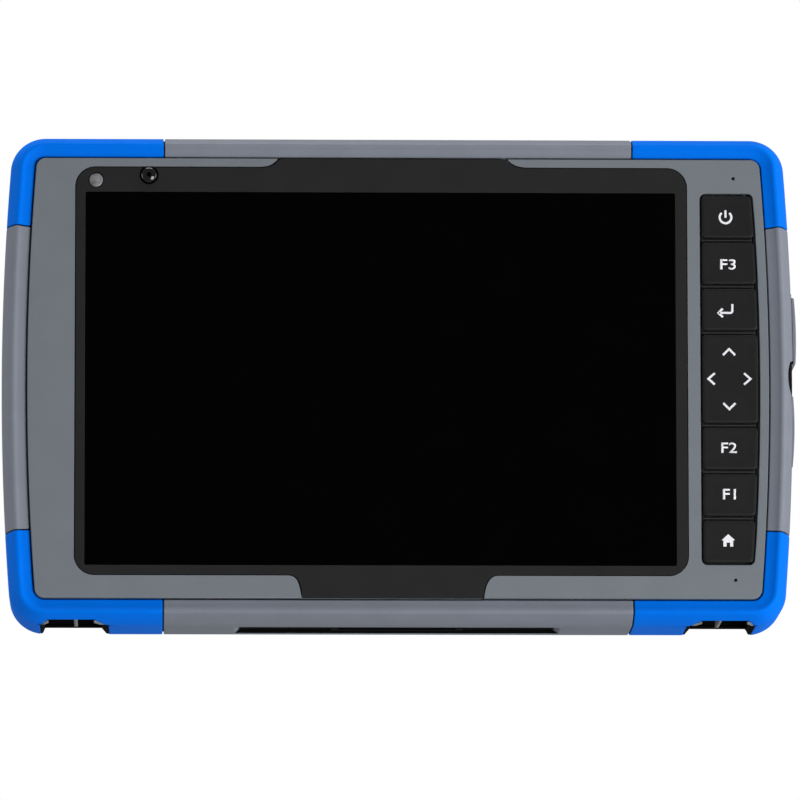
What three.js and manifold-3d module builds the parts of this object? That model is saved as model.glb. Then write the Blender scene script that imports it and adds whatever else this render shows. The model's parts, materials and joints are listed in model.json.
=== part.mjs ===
// Rugged field data collector (7-inch tablet), as an assembly of named parts.
// Millimetres, +Z up, front face towards -Y. It stands on the flats of its lower bumpers at z = 0.
// Inside this file x and z are measured from the middle of the front panel and y from mid thickness.
import * as THREE from "three";
import { mergeVertices } from "three/addons/utils/BufferGeometryUtils.js";
import Module from "manifold-3d";

const wasm = await Module();
wasm.setup();

// ---------------------------------------------------------------- driving dimensions
const GAP = 0.3; // between pieces that touch on the real object
const PANEL_HALF_W = 94.7; // grey front panel, at mid height
const PANEL_HALF_H = 56.65;
const SIDE_RADIUS = 710; // both sides of the panel bow outwards a little
const PANEL_CORNER = 2.4;
const RIM_OUT = 6.65; // how far the bumper ring stands out from the panel
const HALF_T = 18; // half the overall thickness
const FLAT_HALF = 8.5; // half width of the flat at the ring's widest place
const SEAM = 0.45; // between the housing and the ring

const FACE_Y = -17.6; // front panel's face
const REAR_Y = 17.6; // rear case's face
const PLATE = 2.4; // thickness of the front and rear plates
const WALL = 2.8; // housing side walls
const PARTING_Y = -9; // where the front panel meets the rear case

const TOP_SEAM_X = 59.9; // blue bumper to grey rail, along the top and bottom
const SIDE_SEAM_Z = 39; // and along the sides
const SIDE_SEAM_LEAN = 0.077; // the side joints lean with the bowed side

const BEZEL = { left: -82.8, right: 73.8, bottom: -50.95, top: 54.3, corner: 5 };
const SCREEN = { left: -79.9, right: 70.9, bottom: -48.2, top: 47.95 }; // the 7-inch display shows here
const GLASS_LIP = 1.3; // the glass plate stops this far inside the bezel's edge

const KEYS_LEFT = 77.65;
const KEYS_TOP = 47.2;
const KEY_HEIGHT = 10.84;
const KEY_GAP = 1.12;
const KEY_FACE_Y = -17.85;
const KEY_UNDER_Y = -16.7;
const KEY_BAY = { left: 77.2, halfH: 47.9, out: -2.7, corner: 1.2 };

const STRAP = { inner: 73, innerTop: 76.3, outerTop: 88.9, outer: 91.3, ceiling: 60.85, bar: 82.2 };
const DOCK = { halfW: 42, slope: 1.4, ceiling: 61.7, halfY: 7 };

const DOOR = { bottom: -21.3, top: 22.7, front: -6, rear: 6.6, inner: 4.9, proud: 1, lowProud: 0.5 };
const DOOR_SCOOP = { bottom: -3.4, top: 5.4 };
const HINGE = { out: 5.6, y: 8.3, knuckle: 1.7, pin: 0.8 };

const BATTERY = { halfW: 59, bottom: -42, top: 34 };
const BAY_FLOOR_Y = 5.4;
const BOARD_Y = 3.2;

// ---------------------------------------------------------------- finishes
const finish = (color, roughness, metalness = 0) =>
  new THREE.MeshStandardMaterial({ color, roughness, metalness });
const PANEL_GREY = finish("#6d757a", 0.62);
const RAIL_GREY = finish("#757a87", 0.7);
const BUMPER_BLUE = finish("#0070e0", 0.5);
const CHARCOAL = finish("#2b2b2d", 0.7);
const BLACK_PLASTIC = finish("#161618", 0.55);
const KEY_BLACK = finish("#2a2a2b", 0.6);
const SCREEN_GLASS = finish("#020203", 0.08);
const CLEAR_LENS = finish("#08080a", 0.05);
const SENSOR_WHITE = finish("#a9a9ad", 0.35);
const RUBBER_BLACK = finish("#1b1b1c", 0.85);
const MAGNESIUM = finish("#8d9093", 0.45, 0.85);
const STEEL = finish("#b4b6b8", 0.35, 0.95);
const BOARD_GREEN = finish("#1f4a33", 0.55);
const CELL_SILVER = finish("#a8abb0", 0.4, 0.7);
const COPPER = finish("#b0703f", 0.4, 0.9);
const ANTENNA_CERAMIC = finish("#b9a98a", 0.6);

// ---------------------------------------------------------------- geometry and solids
function solidOf(geometry) {
  geometry.deleteAttribute("normal");
  geometry.deleteAttribute("uv");
  const merged = mergeVertices(geometry, 1e-4);
  return new wasm.Manifold(
    new wasm.Mesh({
      numProp: 3,
      vertProperties: new Float32Array(merged.attributes.position.array),
      triVerts: new Uint32Array(merged.index.array),
    }),
  );
}

function geometryOf(solid) {
  const mesh = solid.getMesh();
  const geometry = new THREE.BufferGeometry();
  geometry.setAttribute("position", new THREE.BufferAttribute(mesh.vertProperties, 3));
  geometry.setIndex(new THREE.BufferAttribute(mesh.triVerts, 1));
  const facets = geometry.toNonIndexed();
  facets.computeVertexNormals();
  return facets;
}

const join = (first, ...rest) => rest.reduce((all, solid) => all.add(solid), first);
const cut = (first, ...rest) => rest.reduce((left, solid) => left.subtract(solid), first);

// A shape drawn in (x, z), extruded from y0 to y1.
function slab(shape, y0, y1, curveSegments = 5) {
  const geometry = new THREE.ExtrudeGeometry(shape, {
    depth: y1 - y0,
    bevelEnabled: false,
    curveSegments,
  });
  geometry.rotateX(Math.PI / 2).translate(0, y1, 0);
  return solidOf(geometry);
}

// A box from its limits on each axis.
function block(x0, x1, y0, y1, z0, z1) {
  const geometry = new THREE.BoxGeometry(x1 - x0, y1 - y0, z1 - z0);
  geometry.translate((x0 + x1) / 2, (y0 + y1) / 2, (z0 + z1) / 2);
  return solidOf(geometry);
}

// Round pieces along Y, Z and X.
function rodY(x, z, radius, y0, y1, sides = 20) {
  const geometry = new THREE.CylinderGeometry(radius, radius, y1 - y0, sides);
  return solidOf(geometry.translate(x, (y0 + y1) / 2, z));
}

function rodZ(x, y, radius, z0, z1, sides = 16) {
  const geometry = new THREE.CylinderGeometry(radius, radius, z1 - z0, sides);
  return solidOf(geometry.rotateX(Math.PI / 2).translate(x, y, (z0 + z1) / 2));
}

function rodX(y, z, radius, x0, x1, sides = 16) {
  const geometry = new THREE.CylinderGeometry(radius, radius, x1 - x0, sides);
  return solidOf(geometry.rotateZ(Math.PI / 2).translate((x0 + x1) / 2, y, z));
}

// A (radius, y) profile turned about an axis along Y.
function turnedY(x, z, profile, sides = 20) {
  const points = profile.map(([radius, y]) => new THREE.Vector2(radius, y));
  return solidOf(new THREE.LatheGeometry(points, sides).translate(x, 0, z));
}

function roundedRect(left, right, bottom, top, radius) {
  const shape = new THREE.Shape();
  shape.moveTo(left + radius, bottom);
  shape.lineTo(right - radius, bottom);
  shape.absarc(right - radius, bottom + radius, radius, -Math.PI / 2, 0, false);
  shape.lineTo(right, top - radius);
  shape.absarc(right - radius, top - radius, radius, 0, Math.PI / 2, false);
  shape.lineTo(left + radius, top);
  shape.absarc(left + radius, top - radius, radius, Math.PI / 2, Math.PI, false);
  shape.lineTo(left, bottom + radius);
  shape.absarc(left + radius, bottom + radius, radius, Math.PI, 1.5 * Math.PI, false);
  return shape;
}

const polygon = (points) => new THREE.Shape(points.map(([x, z]) => new THREE.Vector2(x, z)));

// ---------------------------------------------------------------- the panel's outline
const SIDE_STEPS = 4;
const CORNER_STEPS = 5;
const SMALLEST_CORNER = 0.6;

// x of the bowed side at height z, moved out by the given distance.
function sideX(z, out = 0) {
  const reach = SIDE_RADIUS + out;
  return PANEL_HALF_W - SIDE_RADIUS + Math.sqrt(reach * reach - z * z);
}

// The front panel's outline moved outwards, as points (x, z), anticlockwise seen from the front.
function outline(out) {
  const side = SIDE_RADIUS + out;
  const corner = Math.max(PANEL_CORNER + out, SMALLEST_CORNER);
  const bowX = PANEL_HALF_W - SIDE_RADIUS;
  const centreZ = PANEL_HALF_H + out - corner;
  const centreX = bowX + Math.sqrt((side - corner) ** 2 - centreZ ** 2);
  const tilt = Math.atan2(centreZ, centreX - bowX);
  const quarter = [];
  for (let i = 0; i <= SIDE_STEPS; i++) {
    const angle = (tilt * i) / SIDE_STEPS;
    quarter.push([bowX + side * Math.cos(angle), side * Math.sin(angle)]);
  }
  for (let i = 1; i <= CORNER_STEPS; i++) {
    const angle = tilt + ((Math.PI / 2 - tilt) * i) / CORNER_STEPS;
    quarter.push([centreX + corner * Math.cos(angle), centreZ + corner * Math.sin(angle)]);
  }
  const mirrored = (sx, sz) => quarter.map(([x, z]) => [sx * x, sz * z]);
  return [
    ...quarter,
    ...mirrored(-1, 1).reverse(),
    ...mirrored(-1, -1).slice(1),
    ...mirrored(1, -1).reverse().slice(0, -1),
  ];
}

// A closed (out, y) section swept round the outline: a frame. The section runs anticlockwise.
function frameOf(section) {
  const loops = section.map(([out, y]) => outline(out).map(([x, z]) => [x, y, z]));
  const count = loops[0].length;
  const positions = loops.flat(2);
  const triangles = [];
  for (let i = 0; i < loops.length; i++) {
    const next = (i + 1) % loops.length;
    for (let j = 0; j < count; j++) {
      const k = (j + 1) % count;
      const [a, b, c, d] = [i * count + j, next * count + j, next * count + k, i * count + k];
      triangles.push(a, b, c, a, c, d);
    }
  }
  const geometry = new THREE.BufferGeometry();
  geometry.setAttribute("position", new THREE.BufferAttribute(new Float32Array(positions), 3));
  geometry.setIndex(triangles);
  return solidOf(geometry);
}

const plateOf = (out, y0, y1) => slab(polygon(outline(out)), y0, y1);

// ---------------------------------------------------------------- the assembly
const collector = new THREE.Group();
const assembly = new THREE.Group(); // moves the panel's middle to its place above the base
assembly.position.set(-DOOR.proud / 2, 0, PANEL_HALF_H + RIM_OUT);
collector.add(assembly);

function place(name, solid, material) {
  const mesh = new THREE.Mesh(geometryOf(solid), material);
  mesh.name = name;
  assembly.add(mesh);
}

// ---------------------------------------------------------------- display stack
// The bezel's outline: a rounded rectangle with a tab that reaches the panel's edge, top and bottom.
function bezelShape(grow) {
  const left = BEZEL.left - grow;
  const right = BEZEL.right + grow;
  const bottom = BEZEL.bottom - grow;
  const top = BEZEL.top + grow;
  const corner = BEZEL.corner + grow;
  const edge = PANEL_HALF_H - 0.25 + 4 * grow;
  const quarter = Math.PI / 2;
  const shape = new THREE.Shape();
  shape.moveTo(left + corner, bottom);
  shape.lineTo(-27.9 - grow, bottom);
  shape.bezierCurveTo(-25.6 - grow, bottom, -24.9 - grow, bottom - 2, -24.5 - grow, -edge);
  shape.lineTo(21.5 + grow, -edge);
  shape.bezierCurveTo(21.9 + grow, bottom - 2, 22.9 + grow, bottom, 25.2 + grow, bottom);
  shape.lineTo(right - corner, bottom);
  shape.absarc(right - corner, bottom + corner, corner, -quarter, 0, false);
  shape.lineTo(right, top - corner);
  shape.absarc(right - corner, top - corner, corner, 0, quarter, false);
  shape.lineTo(33 + grow, top);
  shape.bezierCurveTo(30.4 + grow, top, 28.4 + grow, top + 0.8, 27.2 + grow, edge);
  shape.lineTo(-30.2 - grow, edge);
  shape.bezierCurveTo(-31.3 - grow, top + 0.8, -32.8 - grow, top, -35.3 - grow, top);
  shape.lineTo(left + corner, top);
  shape.absarc(left + corner, top - corner, corner, quarter, 2 * quarter, false);
  shape.lineTo(left, bottom + corner);
  shape.absarc(left + corner, bottom + corner, corner, 2 * quarter, 3 * quarter, false);
  return shape;
}

const BEZEL_FACE_Y = FACE_Y + 0.05;
const BEZEL_REAR_Y = BEZEL_FACE_Y + 0.7;
const GLASS_Y = BEZEL_REAR_Y + GAP;
const GLASS_REAR_Y = GLASS_Y + 1.35;
const DISPLAY_Y = GLASS_REAR_Y + GAP;
const DISPLAY_REAR_Y = DISPLAY_Y + 3.3;
const SENSOR = { x: -77.3, z: 51, radius: 1.8 };
const CAMERA = { x: -63.8, z: 52.3, radius: 2.2 };
const LENS_PLAY = 0.25;

const lensHoles = [SENSOR, CAMERA].map(({ x, z, radius }) =>
  rodY(x, z, radius + LENS_PLAY, FACE_Y - 1, GLASS_Y),
);

const screenWindow = slab(
  roundedRect(SCREEN.left, SCREEN.right, SCREEN.bottom, SCREEN.top, 0.4),
  FACE_Y - 1,
  GLASS_Y,
);
place(
  "screen_bezel",
  cut(slab(bezelShape(0), BEZEL_FACE_Y, BEZEL_REAR_Y), screenWindow, ...lensHoles),
  CHARCOAL,
);

// The glass plate lies under the bezel, and its raised middle fills the bezel's window.
const glassShape = (grow) =>
  roundedRect(
    BEZEL.left + GLASS_LIP - grow,
    BEZEL.right - GLASS_LIP + grow,
    BEZEL.bottom + GLASS_LIP - grow,
    BEZEL.top - GLASS_LIP + grow,
    BEZEL.corner - GLASS_LIP,
  );
const WINDOW_PLAY = 0.15;
place(
  "touch_glass",
  join(
    slab(glassShape(0), GLASS_Y, GLASS_REAR_Y),
    block(
      SCREEN.left + WINDOW_PLAY,
      SCREEN.right - WINDOW_PLAY,
      BEZEL_FACE_Y + 0.2,
      GLASS_Y + 0.2,
      SCREEN.bottom + WINDOW_PLAY,
      SCREEN.top - WINDOW_PLAY,
    ),
  ),
  SCREEN_GLASS,
);
place("display_panel", block(-82.6, 74.2, DISPLAY_Y, DISPLAY_REAR_Y, -50.4, 50.4), BLACK_PLASTIC);
place(
  "light_sensor_lens",
  rodY(SENSOR.x, SENSOR.z, SENSOR.radius, BEZEL_FACE_Y + 0.05, BEZEL_REAR_Y),
  SENSOR_WHITE,
);
place(
  "front_camera_lens",
  turnedY(CAMERA.x, CAMERA.z, [
    [0, BEZEL_FACE_Y - 0.35],
    [CAMERA.radius * 0.55, BEZEL_FACE_Y - 0.25],
    [CAMERA.radius * 0.9, BEZEL_FACE_Y],
    [CAMERA.radius, BEZEL_FACE_Y + 0.25],
    [CAMERA.radius, BEZEL_REAR_Y],
    [0, BEZEL_REAR_Y],
  ]),
  CLEAR_LENS,
);

// ---------------------------------------------------------------- keypad
// A part of the key column between two heights: straight on the left, bowed on the right.
function keyShape(left, out, bottom, top, corner) {
  const shape = new THREE.Shape();
  const middle = (bottom + top) / 2;
  shape.moveTo(left + corner, bottom);
  shape.lineTo(sideX(bottom, out) - corner, bottom);
  shape.quadraticCurveTo(sideX(bottom, out), bottom, sideX(bottom + corner, out), bottom + corner);
  shape.lineTo(sideX(middle, out), middle);
  shape.lineTo(sideX(top - corner, out), top - corner);
  shape.quadraticCurveTo(sideX(top, out), top, sideX(top, out) - corner, top);
  shape.lineTo(left + corner, top);
  shape.quadraticCurveTo(left, top, left, top - corner);
  shape.lineTo(left, bottom + corner);
  shape.quadraticCurveTo(left, bottom, left + corner, bottom);
  return shape;
}

// The whole bay, whose long bowed side takes more points than one key's.
function keyBay(grow, y0, y1) {
  const { left, halfH, out, corner } = KEY_BAY;
  const steps = 6;
  const reach = halfH + grow;
  const bowed = out + grow;
  const shape = new THREE.Shape();
  shape.moveTo(left - grow + corner, -reach);
  shape.lineTo(sideX(reach, bowed) - corner, -reach);
  for (let i = 0; i <= steps; i++) {
    const z = (reach - corner) * ((2 * i) / steps - 1);
    shape.lineTo(sideX(z, bowed), z);
  }
  shape.lineTo(sideX(reach, bowed) - corner, reach);
  shape.lineTo(left - grow + corner, reach);
  shape.quadraticCurveTo(left - grow, reach, left - grow, reach - corner);
  shape.lineTo(left - grow, corner - reach);
  shape.quadraticCurveTo(left - grow, -reach, left - grow + corner, -reach);
  return slab(shape, y0, y1);
}

// Keys from the top down; the four-way pad takes two keys' height and the gap between them.
const KEY_ORDER = [
  ["power_key", 1],
  ["upper_function_key", 1],
  ["enter_key", 1],
  ["direction_pad", 2],
  ["middle_function_key", 1],
  ["lower_function_key", 1],
  ["home_key", 1],
];
const KEY_OUT = KEY_BAY.out - 0.6;
const KEY_CORNER = 0.9;
const STEM_END_Y = -13.9;
const STEM_RADIUS = 2.4;
const STEM_PLAY = 0.5;
const TRAY_Y = -15.7;
const TRAY_REAR_Y = -14.7;
const RIB_Y = -17;
const RIB_HALF = 0.18;
const keyBoard = { y: -12.7, rearY: -11.7 };
const PIVOT_RADIUS = 3.2;

let keyTray = keyBay(-GAP, TRAY_Y, TRAY_REAR_Y);
let keyCircuit = slab(
  keyShape(KEYS_LEFT + 0.4, KEY_BAY.out - 2.2, 0.6 - KEY_BAY.halfH, KEY_BAY.halfH - 0.6, 0.5),
  keyBoard.y,
  keyBoard.rearY,
);
let keyTop = KEYS_TOP;
for (const [name, units] of KEY_ORDER) {
  const height = units * KEY_HEIGHT + (units - 1) * KEY_GAP;
  const bottom = keyTop - height;
  const middleZ = keyTop - height / 2;
  const middleX = (KEYS_LEFT + sideX(middleZ, KEY_OUT)) / 2;
  const cap = slab(keyShape(KEYS_LEFT, KEY_OUT, bottom, keyTop, KEY_CORNER), KEY_FACE_Y, KEY_UNDER_Y);
  if (units === 1) {
    const stem = rodY(middleX, middleZ, STEM_RADIUS, KEY_UNDER_Y - 0.2, STEM_END_Y, 12);
    place(name, join(cap, stem), KEY_BLACK);
    keyTray = cut(keyTray, rodY(middleX, middleZ, STEM_RADIUS + STEM_PLAY, RIB_Y, TRAY_REAR_Y + 1, 12));
    keyCircuit = join(keyCircuit, rodY(middleX, middleZ, 1.9, keyBoard.y - 0.4, keyBoard.y + 0.2, 10));
  } else {
    // The pad's boss stops short of its pivot, and the tray is open round both.
    place(name, join(cap, rodY(middleX, middleZ, 2, KEY_UNDER_Y - 0.2, TRAY_Y, 12)), KEY_BLACK);
    keyTray = cut(keyTray, rodY(middleX, middleZ, PIVOT_RADIUS + 0.8, RIB_Y, TRAY_REAR_Y + 1, 16));
    const pivotDisc = rodY(middleX, middleZ, PIVOT_RADIUS, TRAY_Y + 0.4, TRAY_REAR_Y + 0.3, 16);
    const pivotPost = rodY(middleX, middleZ, 1.3, TRAY_REAR_Y, keyBoard.y - 0.5, 10);
    place("direction_pad_pivot", join(pivotDisc, pivotPost), BLACK_PLASTIC);
  }
  keyTop = bottom - KEY_GAP;
  if (name !== "home_key") {
    const ribZ = bottom - KEY_GAP / 2;
    const ribEnd = sideX(ribZ, KEY_OUT);
    keyTray = join(keyTray, block(KEYS_LEFT, ribEnd, RIB_Y, TRAY_Y + 0.2, ribZ - RIB_HALF, ribZ + RIB_HALF));
  }
}
place("keypad_frame", keyTray, BLACK_PLASTIC);
place("keypad_board", keyCircuit, BOARD_GREEN);

// ---------------------------------------------------------------- front panel
const MIC = { x: 85.8, z: 51.8, hole: 0.4 };
const OUTER_LEDGE = 1.5; // the outer part of the wall stops short, for the ring's tongue
const TONGUE = { in: -1.2, front: PARTING_Y - 0.9, rear: PARTING_Y + 0.9 };
const SEAL = { outer: -1.7, inner: -2.7, half: 0.45 };
const beyond = 1; // how far a cutting piece runs past what it cuts

const frontPlate = plateOf(0, FACE_Y, FACE_Y + PLATE);
const frontWalls = frameOf([
  [-WALL, FACE_Y + PLATE - 0.3],
  [0, FACE_Y + PLATE - 0.3],
  [0, TONGUE.front - GAP],
  [-OUTER_LEDGE, TONGUE.front - GAP],
  [-OUTER_LEDGE, PARTING_Y - SEAL.half - GAP],
  [-WALL, PARTING_Y - SEAL.half - GAP],
]);
place(
  "front_panel",
  cut(
    join(frontPlate, frontWalls),
    slab(bezelShape(GAP * 0.6), FACE_Y - beyond, GLASS_Y),
    slab(glassShape(GAP), FACE_Y - beyond, FACE_Y + PLATE + beyond),
    keyBay(0, FACE_Y - beyond, FACE_Y + PLATE + beyond),
    rodY(CAMERA.x, CAMERA.z, CAMERA.radius + LENS_PLAY, FACE_Y - beyond, GLASS_Y),
    ...[1, -1].map((s) => rodY(MIC.x, s * MIC.z, MIC.hole, FACE_Y - beyond, FACE_Y + PLATE + beyond, 8)),
  ),
  PANEL_GREY,
);
for (const [side, s] of [["upper", 1], ["lower", -1]]) {
  const z = s * MIC.z;
  const y = FACE_Y + PLATE + GAP;
  place(`microphone_${side}`, block(MIC.x - 1.75, MIC.x + 1.75, y, y + 1, z - 1.3, z + 1.3), STEEL);
}

// ---------------------------------------------------------------- bumper ring
// From the seam a cove rises to a crest, then a curved draft runs down to the flat.
const CREST = [
  [SEAM, -16.45],
  [0.75, -16.7],
  [2.4, -17.25],
  [3.1, -17.85],
  [3.6, -HALF_T],
  [4.25, -17.6],
  [5.2, -15.4],
  [5.95, -13.1],
  [6.45, -10.7],
  [RIM_OUT, -FLAT_HALF],
];
const RING_SECTION = [
  ...CREST,
  ...CREST.map(([out, y]) => [out, -y]).reverse(),
  [SEAM, TONGUE.rear],
  [TONGUE.in, TONGUE.rear],
  [TONGUE.in, TONGUE.front],
  [SEAM, TONGUE.front],
];
const ring = frameOf(RING_SECTION);
const far = 120; // past every outer face
const half = GAP / 2;
const RIM_X = PANEL_HALF_W + RIM_OUT;
const RIM_Z = PANEL_HALF_H + RIM_OUT;

// The arch through a lower or upper corner bumper, drawn for the lower right one.
function strapArch(shrink, ceiling) {
  const { inner, innerTop, outerTop, outer } = STRAP;
  const foot = -RIM_Z - beyond;
  return [
    [inner - 1.2 + shrink, foot],
    [outer + 1.2 - shrink, foot],
    [outer - shrink, -RIM_Z + 0.3],
    [outerTop + 1.1 - shrink, -ceiling - 0.8],
    [outerTop - shrink, -ceiling],
    [innerTop + shrink, -ceiling],
    [innerTop - 1.4 + shrink, -ceiling - 0.8],
    [inner + shrink, -RIM_Z + 0.3],
  ];
}

const mirrored = (points, sx, sz) => {
  const moved = points.map(([x, z]) => [sx * x, sz * z]);
  return sx * sz < 0 ? moved.reverse() : moved;
};

// Height at x of the leaning joint that meets the panel's side at height z.
const seamHeight = (x, z) => z + (x - sideX(z)) * SIDE_SEAM_LEAN;

const ANCHOR = { left: 76.4, right: 89.2, top: -57.5, halfY: 12.6, wall: 0.8, lip: 61.6, halfBar: 0.5 };
function strapPocket(grow) {
  const { left, right, top } = ANCHOR;
  return [
    [left - grow, -STRAP.ceiling - 1.4],
    [right + grow, -STRAP.ceiling - 1.4],
    [right + grow, top + grow],
    [left - grow, top + grow],
  ];
}

for (const [vertical, sz] of [["top", 1], ["bottom", -1]]) {
  for (const [lateral, sx] of [["left", -1], ["right", 1]]) {
    // Both outlines are drawn for the lower right corner, so the upper corners mirror them in z.
    const flip = (points) => polygon(mirrored(points, sx, -sz));
    const x0 = TOP_SEAM_X + half;
    const z0 = SIDE_SEAM_Z + half;
    const zone = [
      [x0, seamHeight(x0, z0)],
      [far, seamHeight(far, z0)],
      [far, far],
      [x0, far],
    ];
    const corner = slab(polygon(mirrored(zone, sx, sz)), -far, far);
    const { halfY, wall, lip } = ANCHOR;
    place(
      `bumper_${vertical}_${lateral}`,
      cut(
        ring.intersect(corner),
        slab(flip(strapArch(0, STRAP.ceiling)), -far, far),
        slab(flip(strapPocket(GAP)), -halfY - GAP, halfY + GAP),
      ),
      BUMPER_BLUE,
    );
    // The anchor lines the arch and holds the cross bar that a strap goes round.
    const lining = slab(flip(strapArch(0.25, STRAP.ceiling + 0.25)), -halfY, halfY);
    const hollow = slab(flip(strapArch(0.75, lip)), -far, far);
    const insides = slab(
      flip([
        [ANCHOR.left + wall, -lip - 0.5],
        [ANCHOR.right - wall, -lip - 0.5],
        [ANCHOR.right - wall, ANCHOR.top - 0.8],
        [ANCHOR.left + wall, ANCHOR.top - 0.8],
      ]),
      -halfY + wall,
      halfY - wall,
    );
    const bar = block(
      sx * STRAP.bar - ANCHOR.halfBar,
      sx * STRAP.bar + ANCHOR.halfBar,
      -halfY + wall / 2,
      halfY - wall / 2,
      sz > 0 ? lip - 2 : -lip,
      sz > 0 ? lip : 2 - lip,
    );
    const pocketShell = slab(flip(strapPocket(0)), -halfY, halfY);
    const anchor = join(cut(join(lining, pocketShell), hollow, insides), bar);
    place(`strap_anchor_${vertical}_${lateral}`, anchor.intersect(frameOf(ringLining())), RAIL_GREY);
  }
}

// The ring's own envelope, a little inside its surface.
function ringLining() {
  const skin = 0.05;
  return [
    [SEAM, -16],
    [4.5, -16],
    [5.8, -12.8],
    [RIM_OUT - skin, -FLAT_HALF],
    [RIM_OUT - skin, FLAT_HALF],
    [5.8, 12.8],
    [4.5, 16],
    [SEAM, 16],
  ];
}

const topSpan = TOP_SEAM_X - half;
const sideSpan = SIDE_SEAM_Z - half;
place("rail_top", ring.intersect(block(-topSpan, topSpan, -far, far, 0, far)), RAIL_GREY);
const sideReach = [0, far].map((x) => [x, seamHeight(x, sideSpan)]);
const sideZone = [...sideReach.map(([x, z]) => [x, -z]), ...sideReach.reverse()];
const alongSide = (s) => ring.intersect(slab(polygon(mirrored(sideZone, s, 1)), -far, far));
place("rail_left", alongSide(-1), RAIL_GREY);

// Bottom rail, with the docking recess and the hole that the connector comes down through.
const DOCK_PLUG = { halfX: 17, halfY: 4.2, bottom: -62.5, top: -50.5 };
const dockRecess = polygon([
  [-DOCK.halfW, -RIM_Z - beyond],
  [DOCK.halfW, -RIM_Z - beyond],
  [DOCK.halfW - DOCK.slope, -DOCK.ceiling],
  [DOCK.slope - DOCK.halfW, -DOCK.ceiling],
]);
const plugHole = block(
  -DOCK_PLUG.halfX - GAP,
  DOCK_PLUG.halfX + GAP,
  -DOCK_PLUG.halfY - GAP,
  DOCK_PLUG.halfY + GAP,
  -RIM_Z,
  -PANEL_HALF_H + WALL + beyond,
);
place(
  "rail_bottom",
  cut(
    ring.intersect(block(-topSpan, topSpan, -far, far, -far, 0)),
    slab(dockRecess, -DOCK.halfY, DOCK.halfY),
    plugHole,
  ),
  RAIL_GREY,
);
const dockFace = block(-15, 15, -2.6, 2.6, DOCK_PLUG.bottom - beyond, DOCK_PLUG.bottom + 0.8);
place(
  "docking_connector",
  cut(
    block(
      -DOCK_PLUG.halfX,
      DOCK_PLUG.halfX,
      -DOCK_PLUG.halfY,
      DOCK_PLUG.halfY,
      DOCK_PLUG.bottom,
      DOCK_PLUG.top,
    ),
    dockFace,
  ),
  BLACK_PLASTIC,
);

// ---------------------------------------------------------------- right rail and its port door
const HINGE_X = PANEL_HALF_W + HINGE.out;
const PORT_WINDOW = { bottom: -19.4, top: 20.9, front: -5.2, rear: 4.6 };
const RECESS_FLOOR = 3.6;
const HINGE_PLAY = 0.4;
const PIN_REACH = 3; // how far the pin runs into the rail past each end of the door

// A curved plate on the side rail: (out0 to out1) from the panel's side, between two heights.
function sidePlate(out0, out1, bottom, top, y0, y1) {
  const steps = 5;
  const heights = Array.from({ length: steps + 1 }, (_, i) => bottom + ((top - bottom) * i) / steps);
  const inner = heights.map((z) => [sideX(z, out0), z]).reverse();
  const outer = heights.map((z) => [sideX(z, out1), z]);
  return slab(polygon([...outer, ...inner]), y0, y1);
}

const gripY = DOOR.front - 2.6;
const fingerNotch = rodX(
  DOOR.front + 4.4,
  (DOOR_SCOOP.bottom + DOOR_SCOOP.top) / 2,
  7,
  PANEL_HALF_W + RECESS_FLOOR,
  far,
  32,
);
place(
  "rail_right",
  cut(
    alongSide(1),
    block(RIM_X - 12, far, PORT_WINDOW.front, PORT_WINDOW.rear, PORT_WINDOW.bottom, PORT_WINDOW.top),
    sidePlate(RECESS_FLOOR, 20, DOOR.bottom - 0.3, DOOR.top + 0.3, DOOR.front - 0.4, HINGE.y),
    rodZ(HINGE_X, HINGE.y, HINGE.knuckle + HINGE_PLAY, DOOR.bottom - 0.3, DOOR.top + 0.3, 20),
    rodZ(HINGE_X, HINGE.y, HINGE.pin + 0.1, DOOR.bottom - PIN_REACH - 0.3, DOOR.top + PIN_REACH + 0.3),
    block(HINGE_X, far, HINGE.y - 0.1, HINGE.y + 2.1, DOOR.bottom - 0.3, DOOR.top + 0.3),
    fingerNotch.intersect(block(0, far, gripY, DOOR.front + 1, DOOR_SCOOP.bottom, DOOR_SCOOP.top)),
  ),
  RAIL_GREY,
);

// The door: two raised pads with a scoop for a finger between them, and a knuckle along the pin.
const doorPads = join(
  sidePlate(DOOR.inner, RIM_OUT + DOOR.proud, DOOR_SCOOP.top, DOOR.top, DOOR.front, DOOR.rear),
  sidePlate(DOOR.inner, RIM_OUT, DOOR_SCOOP.bottom - 0.1, DOOR_SCOOP.top + 0.1, DOOR.front, DOOR.rear),
  sidePlate(DOOR.inner, RIM_OUT + DOOR.lowProud, DOOR.bottom, DOOR_SCOOP.bottom, DOOR.front, DOOR.rear),
);
const doorWeb = block(
  HINGE_X - 0.7,
  HINGE_X + 0.9,
  DOOR.rear - 0.3,
  HINGE.y,
  DOOR.bottom,
  DOOR.top,
);
const doorGrip = fingerNotch.intersect(
  block(0, far, -far, DOOR.front + 1.4, DOOR_SCOOP.bottom - 0.6, DOOR_SCOOP.top + 0.6),
);
place(
  "port_door",
  cut(
    join(
      doorPads,
      doorWeb,
      rodZ(HINGE_X, HINGE.y, HINGE.knuckle, DOOR.bottom, DOOR.top, 20),
    ),
    doorGrip,
    rodZ(HINGE_X, HINGE.y, HINGE.pin + 0.1, DOOR.bottom - beyond, DOOR.top + beyond),
  ),
  RAIL_GREY,
);
place(
  "port_door_pin",
  rodZ(HINGE_X, HINGE.y, HINGE.pin, DOOR.bottom - PIN_REACH, DOOR.top + PIN_REACH, 14),
  STEEL,
);
const sealInset = { bottom: -19.9, top: 21.4, front: -4.8, rear: 5.2, width: 1.1 };
const { bottom: sealBottom, top: sealTop, front: sealFront, rear: sealRear, width: sealWidth } = sealInset;
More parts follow.
